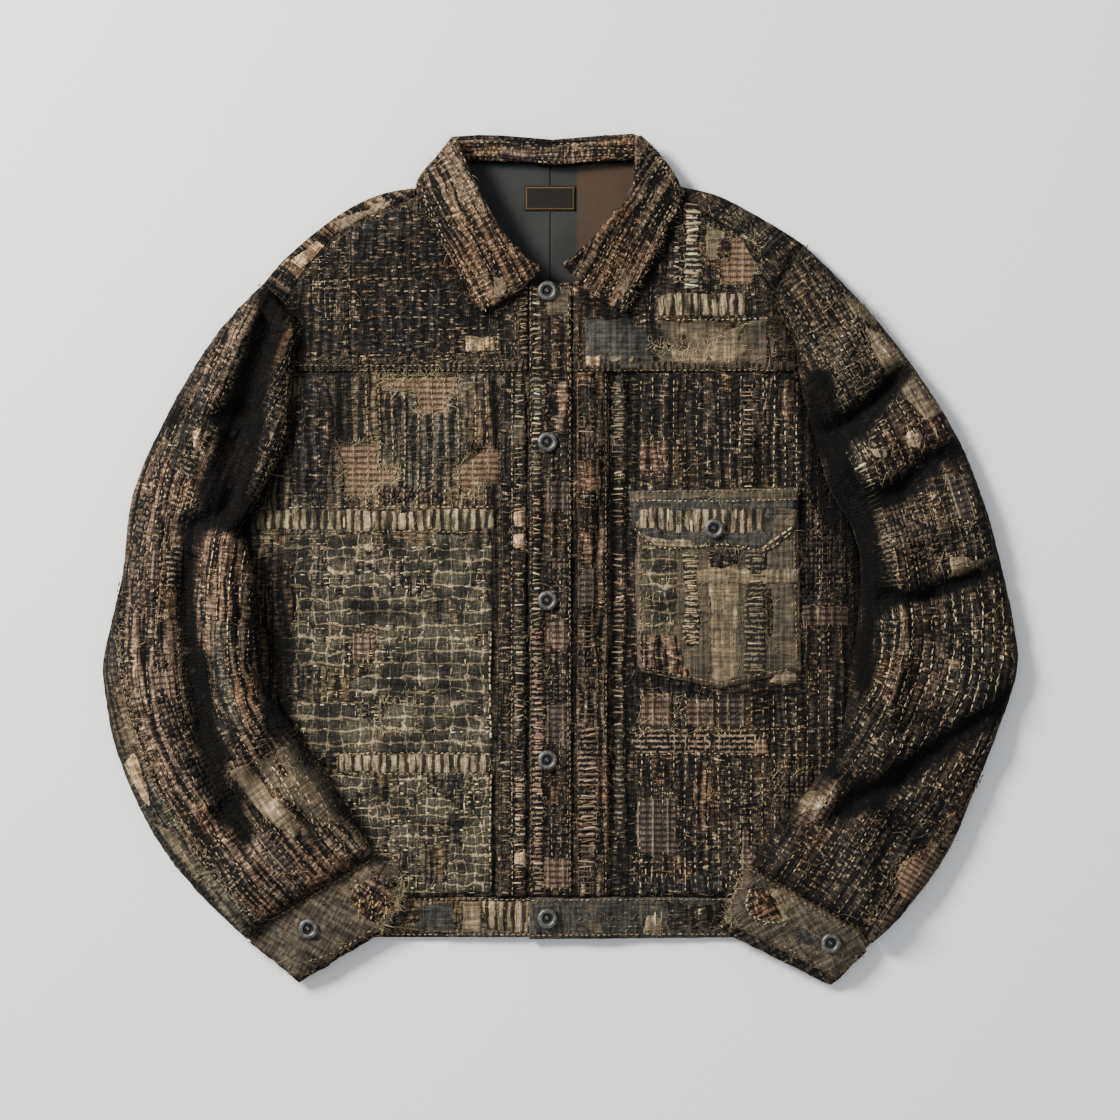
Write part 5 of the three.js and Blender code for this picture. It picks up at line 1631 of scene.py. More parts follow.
POCKET = pins(62, 44, 65, -88, 69, -94, 135, -108, 203, -93, 200, 44)
FLAP = pins(58, 58, 61, 26, 83, 8, 138, 11, 174, 6, 199, 25, 201, 61)
POCKET_SLIT = pins(175, -25, 178, -24, 179.4, -45, 178.4, -66, 175.4, -65, 174.6, -44)


def chest_pocket():
    base = crumpled(shifted(left_front_top, GAP + STRIP), 1.3, 81)

    def top(x, y):
        return base(x, y) + 1.1 * np.exp(-(((x + 0.3 * y - 146) / 12) ** 2)) * ease((-y - 15) / 12)

    panel = Panel("chest_pocket", "boro_grey", POCKET, top, STRIP, "olive", holes=[POCKET_SLIT], seed=81, dip=1.4,
                  bottom=shifted(left_front_top, -1.5))
    panel.open_hole("charcoal", SAND, 0.8)
    panel.patch(pins(66, 40, 101, 40, 101, -99, 70, -92, 67, -86), "grid", 0.3, 0.8, 0.4)
    panel.patch(box(103, 118, -72, 6), "ladder", 0.6, 0.9, 0.7)
    panel.patch(pins(125, 4, 151, 6, 151, -98, 136, -104, 125, -100), "khaki", 0.5, 0.8, 0.6)
    panel.patch(pins(158, -22, 170, -22, 168, -96, 156, -99), "grey", 0.5, 0.8, 0.5)
    panel.patch(pins(156, 6, 173, 6, 173, -96, 155, -99), "khaki_ladder", 0.5, 0.9, 0.6)
    panel.patch(pins(180, 30, 198, 30, 199, -88, 181, -92), "olive", 0.4, 0.7, 0.4)
    panel.patch(box(115, 202, -20, -8), "khaki", 0.8, 1, 0.8)
    panel.patch(pins(124.5, 9, 151, 8, 150, -4, 139, -8, 126, -6), "indigo", 1, 0.8, 0.8)
    panel.patch(pins(66, -62, 100, -64, 110, -100, 70, -92), "umber", 0.3, 0.9, 0.5)
    panel.lattice(5.4, 5.6, SAND, pins(66, 36, 100, 36, 100, -60, 66, -60), 0.9, worn=0, keep=0.6)
    panel.ladder(box(104, 117, -70, 5), 4.6, SAND, 1.6, 0.8)
    panel.ladder(box(157, 172, -92, 4), 4.8, SAND, 1.8, 0.75)
    panel.rows(5.2, 3.2, 2.6, KHAKI, pins(124, 4, 152, 4, 152, -96, 136, -102, 124, -98), False, 0.8, worn=0)
    panel.rows(4.4, 7, 2.4, SAND, box(116, 202, -18, -10), False, 1.4, keep=0.7)
    edge = pins(65.5, 42, 68.5, -86, 72, -91, 135, -104, 199, -90)
    panel.seam(edge[:2], *FINE_TOPSTITCH)
    panel.seam(edge[2:4], *FINE_TOPSTITCH)
    panel.seam(edge[3:], *FINE_TOPSTITCH)
    panel.seam(pins(199, -88, 196.5, 40), *FINE_TOPSTITCH)
    panel.loose(170, SAND, 8)
    panel.loose(70, CREAM, 12)
    panel.make("left_front")


def flap_under(x, y):
    return left_front_top(x, y) + 2 * GAP + STRIP


def pocket_flap():
    top = crumpled(shifted(flap_under, STRIP), 1, 91)
    panel = Panel("pocket_flap", "boro_grey", FLAP, top, STRIP, "grey", seed=91, dip=1.8)
    panel.patch(pins(60, 57, 200, 60, 199.5, 50, 60.5, 48), "olive", 0.4, 0.4, 0.4)
    panel.patch(pins(62.6, 45, 178, 45, 172, 24, 152, 21, 100, 20, 64, 27), "ticks", 0.5, 0.7, 0.6)
    panel.patch(pins(66, 22, 84, 10.5, 114, 11, 113, 18, 90, 18), "khaki", 0.7, 0.7, 0.6)
    panel.patch(pins(181, 44, 199, 42, 197.5, 27, 176, 9, 168, 9, 178, 24), "olive", 0.5, 0.5, 0.6)
    panel.rows(4.8, 13, 5, CREAM, pins(64, 44, 176, 44, 170, 25, 100, 22, 66, 28), False, 2, 0.7, 0.7)
    panel.seam(pins(60, 57, 200, 59.5), 3, 1.4, SAND, 0.9, 0.6)
    panel.seam(pins(60, 50, 130, 49.5, 199.5, 51), 3, 1.4, CREAM, 1, 0.6)
    panel.seam(pins(62.5, 27, 83.5, 10.4, 138, 13.2, 173, 8.4, 196.6, 26), 3, 1.4, CREAM, 1.1, 0.7)
    panel.seam(pins(170, 9.5, 196, 28.5), 5, 1.4, CREAM, 2.2, 0.8)
    panel.seam(pins(120, 27.5, 139, 27.5), *BARTACK)
    panel.loose(70, CREAM, 8)
    panel.fringe(pins(100, 11.5, 138, 11, 172, 7), 0.8, CREAM, 5)
    panel.make("chest_pocket")


def waistbands():
    top = quilted(front_top, LEVEL, 0, 0, 0.5, 1.1, 101)
    right = Panel("right_waistband", "boro_grey", box(-240, 10, HEM, -283.3), top, FRONT_CLOTH, "greygreen", LEVEL,
                  seed=101, dip=1.6)
    for x0, x1, finish in (
        (-238, -208, "umber"), (-206, -170, "dim_ticks"), (-168, -133, "greygreen"), (-131, -84, "grey"),
        (-83, -66, "khaki"), (-65, -24, "ticks"), (-23, 8, "olive"),
    ):
        right.patch(box(x0, x1, -314, -287), finish, 0.4, 0.8, 0.6, grain=UPRIGHT)
    right.seam(pins(-239, -286, -110, -285.4, 9, -286), *TOPSTITCH)
    right.seam(pins(-239, -315, -110, -315.2, 9, -315), *TOPSTITCH)
    right.rows(5.4, 3.4, 2.4, KHAKI, box(-238, -132, -312, -289), False, 0.9, worn=-0.3)
    right.rows(4.2, 14, 4, CREAM, box(-64, -25, -312, -289), True, 1.6, 0.6, 0.7)
    right.rows(5, 9, 5, KHAKI, box(-206, -170, -312, -289), True, 1.5, 0.6, 0.7)
    right.loose(150, SAND, 8)
    right.make("back_panel")

    top = quilted(left_band_top, LEVEL, 0, 0, 0.5, 1.1, 103)
    shape = [(PLACKET_EDGE, HEM - 1.4), (222, HEM), (222, -283.3), (PLACKET_EDGE, -283.3)]
    left = Panel("left_waistband", "boro_grey", shape, top, FRONT_CLOTH, "grey", LEVEL, seed=103, dip=1.6)
    for x0, x1, finish in (
        (-24, 16, "grey"), (18, 37, "olive"), (38, 68, "grey"), (70, 87, "khaki"), (89, 160, "charcoal"),
        (162, 186, "khaki_ladder"), (188, 220, "umber"),
    ):
        left.patch(box(x0, x1, -314.5, -287), finish, 0.4, 0.8, 0.6, grain=UPRIGHT)
    left.seam(pins(-24, -286, 100, -285.4, 221, -286), *TOPSTITCH)
    left.seam(pins(-24, -315.6, 100, -315, 221, -315), *TOPSTITCH)
    left.rows(5.4, 3.4, 2.4, KHAKI, box(36, 68, -312, -289), False, 0.9)
    left.rows(5, 12, 4, CREAM, box(70, 87, -312, -289), True, 1.5, 0.6, 0.6)
    left.seam(pins(-20, -301, 0, -301), *BARTACK)
    left.loose(140, SAND, 8)
    left.make("back_panel")


# ---------------------------------------------------------------- sleeves and cuffs


def fold_wall(cloth, line, width, under, top, finish, grain):
    """A narrow strip along a line that closes a fold between two layers."""
    run = np.gradient(line, axis=0)
    side = np.column_stack([-run[:, 1], run[:, 0]]) / np.hypot(*run.T)[:, None]
    sheet(cloth, outline(line, (line + side * width)[::-1]), top, 1, finish, grain, 4, 0, 0, bottom=under)


# Painted shadow in creases so deep that hardly any light gets in: points, width, and darkness.
RIGHT_PAINTED_SHADOWS = [
    (pins(-246, 196, -258, 150, -268, 110), 10, 7), (pins(-264, 112, -274, 78, -288, 56, -266, 32), 13, 18),
    (pins(-250, 24, -246, -10, -243, -60, -240, -136), 9, 14), (pins(-311, 22, -314, -20, -306, -75), 4, 7),
    (pins(-296, -80, -298, -120, -286, -160), 6, 6), (pins(-262, -110, -272, -150, -300, -190), 8, 5),
    (pins(-236, -130, -206, -180, -180, -220), 8, 5), (pins(-352, -60, -346, -120, -318, -180), 5, 5),
    (pins(-330, 118, -300, 112, -272, 122), 4, 4), (pins(-333, 40, -336, -20, -330, -60), 3.4, 4),
]
LEFT_PAINTED_SHADOWS = [
    (pins(218, 150, 221, 121, 234, 80, 243, 52, 257, 20, 263, -10, 265, -32), 10, 20),
    (pins(265, -32, 257, -60, 253, -104), 7, 12), (pins(216, 106, 240, 108, 264, 130, 288, 158), 5, 8),
    (pins(234, 98, 250, 104, 266, 128), 6, 6), (pins(258, 46, 276, 54, 300, 74), 5, 8),
    (pins(268, -28, 300, -31, 340, -18, 368, -4), 4, 8), (pins(378, -114, 347, -140, 294, -175, 250, -203), 6, 8),
    (pins(246, 150, 240, 172, 254, 196), 6, 4), (pins(240, -150, 214, -188, 186, -222), 8, 5),
    (pins(300, -60, 330, -74, 360, -100), 5, 5), (pins(310, 88, 318, 50, 316, 8), 4, 5),
    (pins(284, -48, 292, -80, 280, -120), 4, 5),
]


def sleeve(side, silhouette, depth, top, top_shape, turned_shape, grain, finishes, slots, edges):
    """A sleeve's two pieces: the upper side, and the under side with the strip it turns to the front."""
    low = lambda x, y: sleeve_base(x, y) + SLEEVE_RIM * (1 - ease(depth(x, y) / 24))
    seed, creases, lines = (111, right_folds, RIGHT_PAINTED_SHADOWS) if side == "right" else (131, left_folds, LEFT_PAINTED_SHADOWS)
    # Painted shade and highlight: darker in the creases and toward the sleeve's edges where it rounds down, lighter on
    # the crease ridges.
    painted_crease_shadow = sampled(lambda x, y: folds(lines, x, y), 3)
    shade = sampled(lambda x, y: np.clip(1.1 + (creases(x, y) - painted_crease_shadow(x, y)) / 7, 0.03, 1.3)
                    * (0.35 + 0.65 * ease(depth(x, y) / 16)), 2)
    upper = quilted(top, grain, 0, 8.6, 1.5, 1.9, seed)
    over = Panel(f"{side}_sleeve_top", slots[0], top_shape, upper, SLEEVE_CLOTH, finishes[0], grain, seed=seed,
                 fray=0.5, dip=1.2, shade=shade)
    strip = Panel(f"{side}_sleeve_under", slots[1], turned_shape, crumpled(top, 1.3, seed + 9), SLEEVE_CLOTH,
                  finishes[1], grain, seed=seed + 9, fray=0.5, dip=1, shade=shade)
    sheet(strip.ground, silhouette, lambda x, y: low(x, y) + SLEEVE_CLOTH, SLEEVE_CLOTH, "charcoal", grain, 6, 0.4, 0)
    for line, width in edges:
        fold_wall(strip.ground, line, width, low, lambda x, y: top(x, y) - SLEEVE_CLOTH, "charcoal", grain)
    return over, strip


def along(grain, u0, u1, v0, v1):
    """A strip of a sleeve, from u0 to u1 down it and v0 to v1 across."""
    u = np.concatenate([np.linspace(u0, u1, 8), np.linspace(u1, u0, 8)])
    v = np.concatenate([np.full(8, v0), np.full(8, v1)])
    return np.column_stack(grain.to_plane(u, v))


def right_sleeve():
    top_shape = outline(right_outer[right_outer[:, 1] > -17], right_elbow_seam, right_cuff_seam[2::-1],
                        right_inner[::-1], right_armhole[::-1])
    turned = outline(right_elbow_seam, pins(-262, -318), between(right_outer, -314, -22)[::-1])
    turned_edge = right_outer[right_outer[:, 1] < -22]
    edges = [(between(right_outer, -14, 222), SLEEVE_CLOTH), (right_inner, -SLEEVE_CLOTH)]
    over, strip = sleeve("right", right_sleeve_outline, right_depth, right_sleeve_top, top_shape, turned,
                         RIGHT_SLEEVE, ("umber", "greygreen"), ("boro_brown", "boro_grey"),
                         [(turned_edge, SLEEVE_CLOTH), *edges])
    grain = RIGHT_SLEEVE
    for u0, u1, v0, v1, finish, lift in (
        (60, 300, -44, -30, "umber_nubs", 0.3), (40, 330, -30, -16, "charcoal", 0.3),
        (60, 250, 2, 16, "umber", 0.3), (0, 120, -12, 2, "greygreen", 0.3), (0, 90, 20, 38, "charcoal", 0.3),
        (330, 500, -22, -6, "umber_nubs", 0.3), (330, 440, 8, 26, "charcoal", 0.3),
        (300, 420, 28, 44, "greygreen", 0.3), (90, 300, 34, 52, "umber", 0.3),
    ):
        over.patch(along(grain, u0, u1, v0, v1), finish, lift, 1, 0.35)
    over.patches_of((
        (pins(-246, 226, -228, 214, -226, 196, -240, 190, -252, 212), "khaki", 0.8),
        (pins(-309, 111, -300, 110, -299, 91, -308, 92), "cream", 0.8),
        (pins(-315, 90, -306, 90, -304, 40, -314, 39), "rose_ladder", 0.7),
        (pins(-343, 61, -329, 60, -328, 39, -342, 40), "umber", 0.5),
        (pins(-329, 10, -316, 9, -315, -25, -328, -24), "rose_ladder", 0.8),
        (pins(-345, 10, -333, 8, -333, -22, -347, -20), "plum_plaid", 0.6),
        (pins(-322, -67, -306, -66, -305, -84, -320, -85), "rose_plaid", 0.8),
        (pins(-345, -88, -322, -90, -320, -116, -338, -117), "rose_plaid", 0.7),
        (pins(-257, -168, -222, -150, -190, -186, -181, -222, -210, -216, -240, -192), "olive", 0.6),
        (pins(-276, -176, -262, -170, -238, -196, -212, -222, -222, -232, -250, -212), "khaki", 0.7),
        (pins(-300, -120, -270, -130, -262, -160, -290, -150), "charcoal", 0.4),
        (pins(-262, -214, -232, -238, -214, -262, -240, -262), "plum_plaid", 0.5),
        (pins(-296, -150, -276, -176, -262, -210, -284, -214), "umber_nubs", 0.4),
        (pins(-236, 150, -228, 100, -246, 52, -262, 60, -262, 140), "indigo", 0.3),
    ), 1, 0.7)
    over.rows(8.6, 3.4, 2.4, SAND, None, False, 1, worn=-0.65, keep=0.9)
    over.rows(8.6, 2.6, 3.2, MAUVE, None, False, 1.3, 0.4, worn=-0.2, offset=4.3)
    over.rows(5, 2.4, 6, MAUVE, None, True, 1.1, 0.4, 0.6, worn=-0.1)
    over.rows(8.6, 4.6, 2, CREAM, pins(-294, 10, -262, 8, -262, -66, -292, -66), False, 1.2, 0.7, 0.95)
    over.seam(pins(-341, 100, -330, 97, -318, 95), 3, 1.4, CREAM, 1, 0.7)
    for k in range(4):
        start = np.array([(-254 + 14 * k, -168 - 4 * k)], float)
        over.seam(np.vstack([start, start + (16, -24), start + (20, -46)]), 4.5, 1.2, CREAM, 1.2, 0.8)
    over.seam(right_cuff_seam[:3], *TOPSTITCH)
    over.seam(right_armhole + (-3.5, 0), *LONG_TOPSTITCH)
    over.fringe(right_armhole, 0.8, SAND, 5)
    over.fringe(right_elbow_seam, 1, SAND, 5)
    over.loose(520, SAND, 9)
    over.loose(120, CREAM, 12)

    strip.patch(pins(-366, -170, -352, -205, -338, -214, -345, -190, -356, -160), "cream", 0.6)
    strip.patch(pins(-345, -216, -322, -250, -300, -272, -306, -252, -326, -226), "khaki", 0.6)
    strip.patch(pins(-380, -70, -372, -66, -368, -120, -378, -120), "plum_plaid", 0.4)
    strip.rows(7, 3.4, 2.4, KHAKI, None, False, 1, keep=0.8, worn=-0.3)
    strip.seam(right_elbow_seam + (-3, -1), *LONG_TOPSTITCH)
    strip.fringe(right_elbow_seam, 0.6, CREAM, 5)
    strip.loose(130, SAND, 8)
    strip.make([], 1, right_sleeve_outline, abs(area_of(turned)))
    over.make("right_sleeve_under", 1.08)


def left_sleeve():
    top_shape = outline(left_inner, left_cuff_seam[:3], left_elbow_seam[::-1],
                        left_outer[left_outer[:, 1] > -178][::-1], left_armhole)
    turned = outline(left_elbow_seam, pins(262, -322), between(left_outer, -318, -184)[::-1])
    turned_edge = left_outer[left_outer[:, 1] < -184]
    edges = [(between(left_outer, -175, 245), -SLEEVE_CLOTH), (left_inner, SLEEVE_CLOTH)]
    over, strip = sleeve("left", left_sleeve_outline, left_depth, left_sleeve_top, top_shape, turned,
                         LEFT_SLEEVE, ("charcoal", "umber"), ("boro_dark", "boro_brown"),
                         [(turned_edge, -SLEEVE_CLOTH), *edges])
    grain = LEFT_SLEEVE
    for u0, u1, v0, v1, finish, lift in (
        (20, 150, -44, -30, "umber", 0.3), (20, 120, 8, 24, "umber_nubs", 0.3), (60, 200, 26, 42, "umber", 0.3),
        (250, 420, -40, -24, "umber", 0.3), (240, 430, -4, 8, "umber_nubs", 0.3), (250, 400, 26, 44, "indigo", 0.3),
    ):
        over.patch(along(grain, u0, u1, v0, v1), finish, lift, 1, 0.35)
    over.patches_of((
        (pins(239, 219, 252, 216, 268, 202, 262, 196, 246, 206), "khaki", 0.9),
        (pins(207, 250, 232, 232, 226, 214, 204, 226), "greygreen", 0.4),
        (pins(246, 186, 262, 172, 300, 124, 290, 118, 250, 160), "umber_nubs", 0.4),
        (pins(256, 194, 272, 190, 324, 126, 306, 117, 266, 168), "khaki", 0.7),
        (pins(287, 111, 305, 108, 304, 91, 288, 92), "cream", 0.8),
        (pins(246, 94, 278, 100, 277, 84, 246, 76), "ticks", 0.7),
        (pins(292, 88, 318, 94, 322, 60, 298, 50), "indigo", 0.4),
        (pins(321, 74, 345, 72, 350, 34, 324, 30), "plum_plaid", 0.8),
        (pins(264, 48, 300, 52, 322, 28, 300, 6, 266, 16), "umber_nubs", 0.4),
        (pins(326, 2, 366, 4, 366, -12, 328, -14), "khaki", 1),
        (pins(265, 23, 281, 24, 280, -25, 266, -24), "khaki_ladder", 1.2),
        (pins(324, -83, 334, -82, 335, -91, 324, -92), "plaid", 0.8),
        (pins(184, -190, 210, -176, 235, -184, 226, -214, 196, -226), "rose_plaid", 0.7),
        (pins(196, -196, 220, -192, 222, -206, 200, -212), "cream", 1.1),
        (pins(262, -178, 290, -172, 312, -150, 300, -138, 270, -160), "charcoal", 0.4),
        (pins(238, -216, 262, -200, 276, -226, 254, -246), "umber", 0.4),
        (pins(300, -190, 336, -186, 324, -216, 300, -222), "indigo", 0.3),
    ), 1, 0.7)
    over.rows(8.4, 3.6, 2.2, SAND, None, False, 1, worn=-0.65, keep=0.9)
    over.rows(8.4, 4.4, 2.2, CREAM, pins(262, -30, 384, -20, 384, -150, 300, -190, 240, -130), False, 1.2, 0.7, 0.9,
              worn=-0.4, wander=2.6)
    over.lattice(5.2, 5.2, KHAKI, pins(214, 190, 250, 205, 276, 150, 240, 110, 214, 120), 1.1, worn=-0.2)
    over.lattice(5, 5, KHAKI, pins(264, 48, 300, 52, 350, 30, 366, 6, 300, 0, 262, 16), 1.1, worn=-0.3)
    over.ladder(along(grain, 178, 236, -44, -30), 4.8, CREAM, 1.8)
    over.ladder(box(266, 280, -24, 22), 4.4, SAND, 1.6)
    for line in (pins(259, 191, 286, 158, 310, 119), pins(266, 190, 296, 156, 318, 124)):
        over.seam(line, 3.6, 1.2, CREAM, 1.1, 0.7)
    over.seam(pins(196, -196, 204, -208, 212, -194, 222, -206, 228, -190), 3.4, 1, CREAM, 1.3, 0.8)
    over.seam(pins(326, -2, 346, -6, 366, -4), 3.4, 1.2, CREAM, 1.2, 0.8)
    over.seam(left_cuff_seam[:3], *TOPSTITCH)
    over.seam(left_armhole + (3.5, 0), *LONG_TOPSTITCH)
    over.fringe(left_armhole, 1, SAND, 5)
    over.fringe(left_elbow_seam, 1, SAND, 5)
    over.fringe(pins(239, 219, 252, 216, 268, 202), 2, CREAM, 7)
    over.loose(560, SAND, 9)
    over.loose(140, CREAM, 12)

    strip.patch(pins(277, -256, 300, -246, 330, -222, 334, -236, 306, -276, 288, -292), "plaid", 0.5)
    strip.rows(6.6, 3.6, 2.2, SAND, None, False, 1, keep=0.8, worn=-0.4)
    strip.seam(left_elbow_seam + (3, -1), *LONG_TOPSTITCH)
    strip.loose(110, SAND, 8)
    strip.make([], 1, left_sleeve_outline, abs(area_of(turned)))
    over.make("left_sleeve_under", 1.08)


def cuffs():
    right = outline(right_cuff_seam, pins(-221, -352, -152, -311, -132, -282, -133, -266))
    left = outline(left_cuff_seam, pins(232, -351, 150, -310, 137, -301))
    for side, shape, shift, angle in (("right", right, (1.5, -3), -30), ("left", left, (-4, -7), 30)):
        grain = StraightGrain(angle)
        depth = sampled(lambda x, y, shape=shape: depth_in(shape, x, y))
        rise = lambda x, y, depth=depth: 4 * (1 - np.exp(-np.maximum(0, depth(x, y)) / 10))
        under = lambda x, y, rise=rise: sleeve_base(x, y) + SLEEVE_CLOTH + GAP + rise(x, y)
        back = Panel(f"{side}_cuff_back", "boro_dark", shape + shift, shifted(sleeve_base, SLEEVE_CLOTH), SLEEVE_CLOTH,
                     "charcoal", grain, seed=151, step=4, fray=0.9, dip=0.6)
        back.fringe(np.vstack([shape + shift, shape[:1] + shift]), 0.4, SAND, 4)
        back.make([])
        top = quilted(shifted(under, SLEEVE_CLOTH), grain, 0, 7, 0.8, 1, 153)
        cuff = Panel(f"{side}_cuff", "boro_grey", shape, top, SLEEVE_CLOTH, "canvas", grain, seed=155, fray=0.8,
                     dip=1.8)
        if side == "right":
            cuff.patch(pins(-200, -286, -176, -271, -168, -282, -190, -298), "olive", 0.5)
            cuff.patch(pins(-178, -276, -152, -262, -140, -272, -140, -296, -154, -306, -172, -296), "umber", 0.8, 1.2,
                       1)
            cuff.patch(pins(-250, -306, -238, -300, -222, -332, -228, -342), "grey", 0.4)
            for x in (-172, -161, -150):
                cuff.seam([(x, -268 - 0.5 * (x + 172)), (x + 4, -284), (x + 3, -302)], 3.4, 0.8, CREAM, 1.3, 0.9)
            cuff.patch(pins(-160, -258, -138, -268, -134, -280, -150, -278), "umber_nubs", 0.6, 1.6, 1.2)
            for _ in range(3):
                cuff.fringe(pins(-133, -266, -132, -282, -140, -296, -152, -311), 1.1, CREAM, 8)
            edge = pins(-156, -250, -200, -277, -244, -303), pins(-228, -342, -190, -329, -156, -308, -138, -284)
            hole = pins(-219, -313, -200, -303)
        else:
            cuff.patch(pins(176, -272, 208, -288, 204, -306, 180, -304, 170, -292), "khaki", 0.5, 1.2, 0.6)
            cuff.patch(pins(162, -272, 182, -282, 186, -300, 166, -304, 156, -292), "umber", 0.7, 1.2, 1, CREAM)
            cuff.patch(pins(196, -304, 222, -314, 220, -330, 196, -322), "grey", 0.4, 1)
            cuff.seam(pins(160, -276, 156, -290, 164, -300, 180, -304, 192, -300), 3.4, 0.8, CREAM, 1.4, 0.9)
            for _ in range(2):
                cuff.fringe(pins(160, -258, 148, -276, 139, -300, 150, -308), 1, CREAM, 6)
            edge = pins(162, -261, 206, -288, 250, -313), pins(143, -301, 180, -320, 232, -346)
            hole = pins(208, -311, 230, -323)
        for line in edge:
            cuff.seam(line, *TOPSTITCH)
        cuff.seam(hole, 1.5, 0.4, SAND, 1.1, 0.7)
        cuff.rows(7, 3, 3, KHAKI, None, False, 0.8, keep=0.4, worn=0)
        cuff.fringe(np.vstack([shape, shape[:1]]), 0.5, SAND, 4)
        cuff.loose(90, SAND, 8)
        cuff.make([f"{side}_cuff_back", f"{side}_sleeve_under"])


# ---------------------------------------------------------------- collar

right_roll = smooth(pins(-86, 352, -78, 332, -69, 313, -50, 278, -33, 259, -14, 244))
right_leaf_edge = smooth(pins(-90, 356, -103, 340, -121, 314, -107, 280, -66, 209))
left_roll = smooth(pins(63, 354, 62, 330, 59, 306, 46, 291, 24, 266, 2, 248))
left_leaf_edge = smooth(pins(68, 356.5, 88, 336, 102, 308, 88, 273, 55, 208))
back_roll = pins(
    70, 348, 68, 356, 61, 358.5, 35, 357, -6, 353.5, -48, 357, -68, 357.5, -90, 356, -92, 346)


LEAF_RISE = 15  # how high a leaf's roll stands over the yoke


def leaf_under(edge, roll):
    """The underside of a leaf: close to the body at its outer edge and high along its roll."""

    def field(x, y):
        out = distance(edge, x, y)
        across = out / np.maximum(1, out + distance(roll, x, y))
        below = np.maximum(left_front_top(x, y), front_top(x, y) + GAP + FRONT_CLOTH) + 1
        return below + LEAF_RISE * across**1.3 * ease((y - 196) / 90)

    return sampled(field)


def stand_top(x, y):
    rise = 8 * ease(np.maximum(0, 357 - y) / 30) * ease((y - 318) / 16)
    return back_top(x, y) + 2 + rise + COLLAR_CLOTH


def collar():
    right = outline(right_leaf_edge, pins(-39, 223, -14, 244), right_roll[::-1])
    left = outline(left_leaf_edge, pins(30, 219, 10, 239, 2, 248), left_roll[::-1])
    back = outline(back_roll[::-1], pins(64, 337), (back_neck + (0, 0.4))[::-1][1:-1], pins(-82, 337))
    panels = []
    for name, shape, edge, roll, width, angle in (
        ("right", right, right_leaf_edge, right_roll, -3, -62), ("left", left, left_leaf_edge, left_roll, 3, 60),
    ):
        grain = StraightGrain(angle)
        under = leaf_under(edge, roll)
        top = quilted(shifted(under, COLLAR_CLOTH), grain, 0, 6.2, 1.1, 0.9, 171)
        leaf = Panel(f"collar_{name}_leaf", "boro_dark", shape, top, COLLAR_CLOTH, "umber", grain, ["collar"], seed=171,
                     dip=2, step=2.1)
        fold_wall(leaf.ground, roll, width, lambda x, y: back_top(x, y) + LINING + 2, shifted(under, 1), "charcoal",
                  grain)
        leaf.rows(6.2, 3.2, 2.2, SAND, None, False, 1.3, 0.6, 0.85, worn=-0.4)
        leaf.rows(6.2, 2.6, 2.8, MAUVE, None, False, 1.5, 0.5, 0.8, worn=-0.2, offset=3.1)
        leaf.rows(5, 2.2, 5, KHAKI, None, True, 1, 0.4, 0.6)
        inner = edge + np.array([(5, -1.5) if name == "right" else (-5, -1.5)])
        leaf.seam(inner, *LONG_TOPSTITCH)
        leaf.seam(roll + np.array([(-4, 0) if name == "right" else (4, 0)]), 3, 2, KHAKI, 0.9, 0.6)
        leaf.fringe(edge, 0.7, SAND, 4)
        leaf.loose(120, SAND, 8)
        panels.append(leaf)
    panels[0].patch(pins(-58, 240, -46, 238, -42, 224, -56, 218), "khaki", 0.6, 0.8, 0.8)
    panels[1].patch(pins(46, 246, 58, 250, 60, 230, 52, 216), "khaki", 0.5, 0.8, 0.8)

    top = quilted(stand_top, LEVEL, 0, 5.4, 0.9, 0.5, 175)
    stand = Panel("collar_back", "boro_dark", back, top, COLLAR_CLOTH, "umber", LEVEL, ["collar"], seed=175, dip=1.2)
    side = outline(back_roll, (back_roll + np.array([(-3, -3)] * 2 + [(0, -4)] * 5 + [(3, -3)] * 2))[::-1])
    sheet(stand.ground, side, stand_top, 1, "charcoal", LEVEL, 4, 0, 0,
          bottom=lambda x, y: np.full(np.shape(x), 0.2))
    sheet(stand.ground, outline(pins(-90, 314, 66, 314), back_roll[1:8]), lambda x, y: np.full(np.shape(x), 2.0), 2,
          "charcoal", LEVEL, 6, 0, 0)
    stand.rows(5.4, 3.4, 2.2, SAND, None, False, 1.1, 0.5, 0.85, worn=-0.4)
    stand.rows(5.4, 2.4, 2.8, MAUVE, None, False, 1.3, 0.4, 0.7, offset=2.7)
    stand.ladder(box(-80, 60, 340, 352), 4.4, KHAKI, 1.1, 0)
    stand.loose(60, SAND, 7)
    panels.append(stand)
    for panel in panels[:2]:
        panel.make(["right_yoke", "left_yoke"], 1, None, 3000)
    stand.make(["right_yoke", "left_yoke"], 1, box(-90, 66, 273, 357))


# ---------------------------------------------------------------- buttons


BUTTON_RADIUS = 8.4
BUTTON_DEPTH = 1.4
# Painted shade: between these radii the dished face takes a near black steel.
FACE_REACH = (1.0, 4.5)  # the dished face is darker than the rim, between these radii


def push(distance_up):
    bpy.ops.transform.translate(value=(0, 0, distance_up * MM))


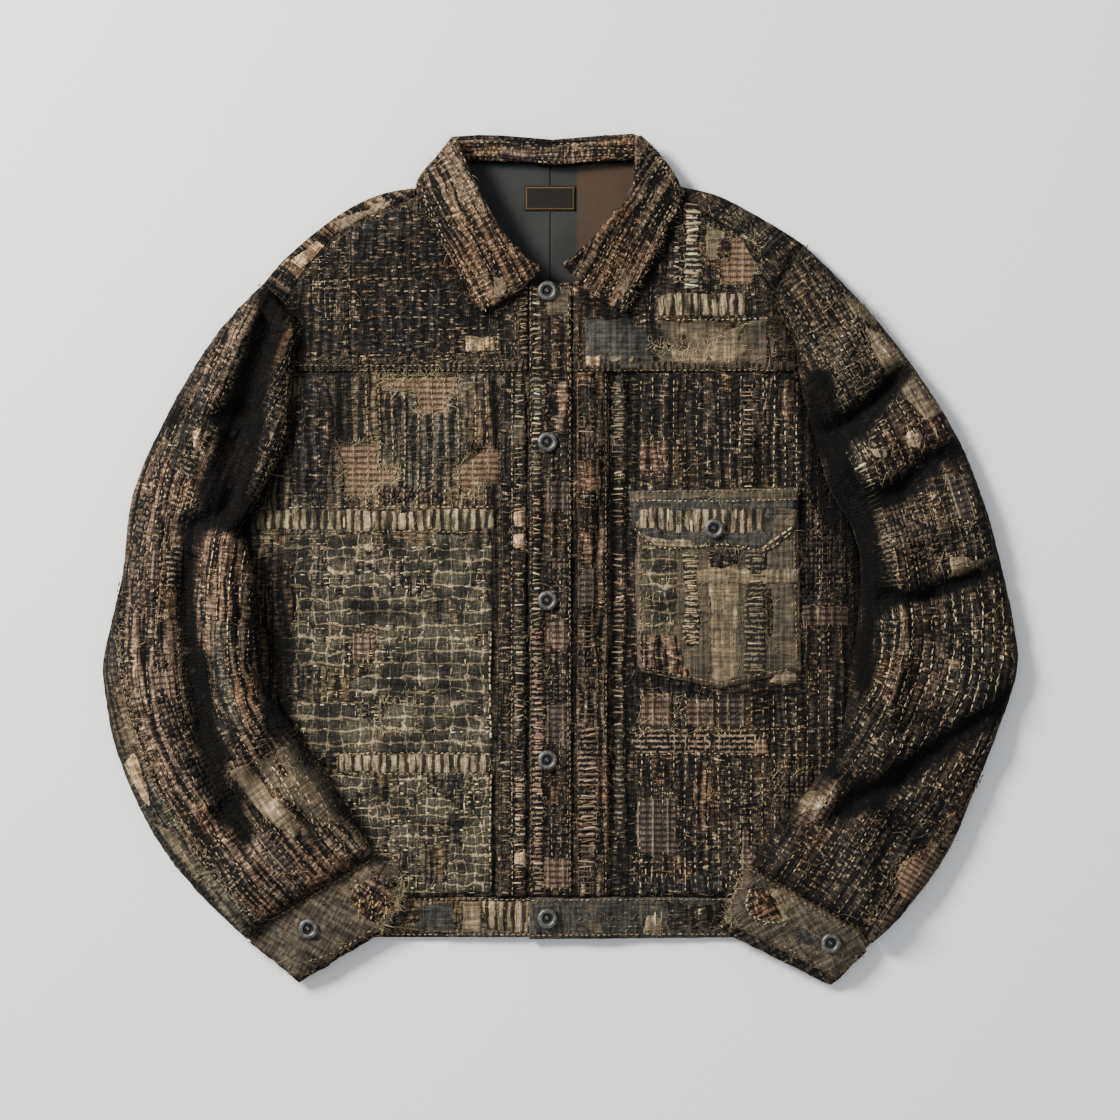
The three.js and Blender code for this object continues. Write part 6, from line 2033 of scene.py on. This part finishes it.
def make_button():
    """A pressed steel ring button: a rolled rim, a dished face and a small eyelet in its middle."""
    bpy.ops.object.select_all(action="DESELECT")
    bpy.ops.mesh.primitive_cylinder_add(
        vertices=40, radius=BUTTON_RADIUS * MM, depth=BUTTON_DEPTH * MM, location=(0, 0, BUTTON_DEPTH / 2 * MM))
    button = bpy.context.object
    bpy.ops.object.mode_set(mode="EDIT")
    mesh = bmesh.from_edit_mesh(button.data)
    for face in mesh.faces:
        face.select = face.normal.z > 0.9
    bmesh.update_edit_mesh(button.data)
    for thickness, rise in (
        (0.6, 0.9), (0.8, 0.6), (0.9, 0.15), (0.9, -0.35), (0.8, -0.5), (0.5, -1), (1.4, -0.2), (0.9, 0.8), (0.6, 0.2),
    ):
        bpy.ops.mesh.inset(thickness=thickness * MM, depth=0)
        push(rise)
    bpy.ops.object.mode_set(mode="OBJECT")
    bpy.ops.object.shade_smooth()
    bevel = button.modifiers.new("edges", "BEVEL")
    bevel.width = 0.3 * MM
    bevel.segments = 2
    round_off = button.modifiers.new("round", "SUBSURF")
    round_off.levels = round_off.render_levels = 1
    for modifier in ("edges", "round"):
        bpy.ops.object.modifier_apply(modifier=modifier)
    button.data.materials.append(FINISHES["metal"])
    button.data.materials.append(FINISHES["painted_shade_metal"])
    # The dished face gets the near black steel, as painted shade.
    for face in button.data.polygons:
        radius = math.hypot(face.center.x, face.center.y) / MM
        face.material_index = int(FACE_REACH[0] < radius < FACE_REACH[1])
    return button


def buttons():
    names = [f"front_button_{k}" for k in range(1, 6)] + ["pocket_button", "right_cuff_button", "left_cuff_button"]
    pattern = make_button()
    for name in names:
        button = pattern.copy()
        button.data = pattern.data.copy()
        button.name = button.data.name = "steel_" + name
        scene.collection.objects.link(button)
        low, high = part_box(name)
        turn = Euler((0, 0, float(dice.uniform(0, 6)))).to_matrix().to_4x4()
        place = Vector(((low[0] + high[0]) / 2, (low[1] + high[1]) / 2, low[2]))
        button.data.transform(Matrix.Translation(place) @ turn)
        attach(button, "root")
        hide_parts(name)
    bpy.data.objects.remove(pattern)


# ---------------------------------------------------------------- the jacket

make_camera()
make_studio()
back_panel()
neck_lining()
shoulders()
right_yoke()
left_yoke()
right_front()
right_pleat()
left_placket()
left_front()
left_pleat()
chest_pocket()
pocket_flap()
waistbands()
right_sleeve()
left_sleeve()
cuffs()
collar()
buttons()
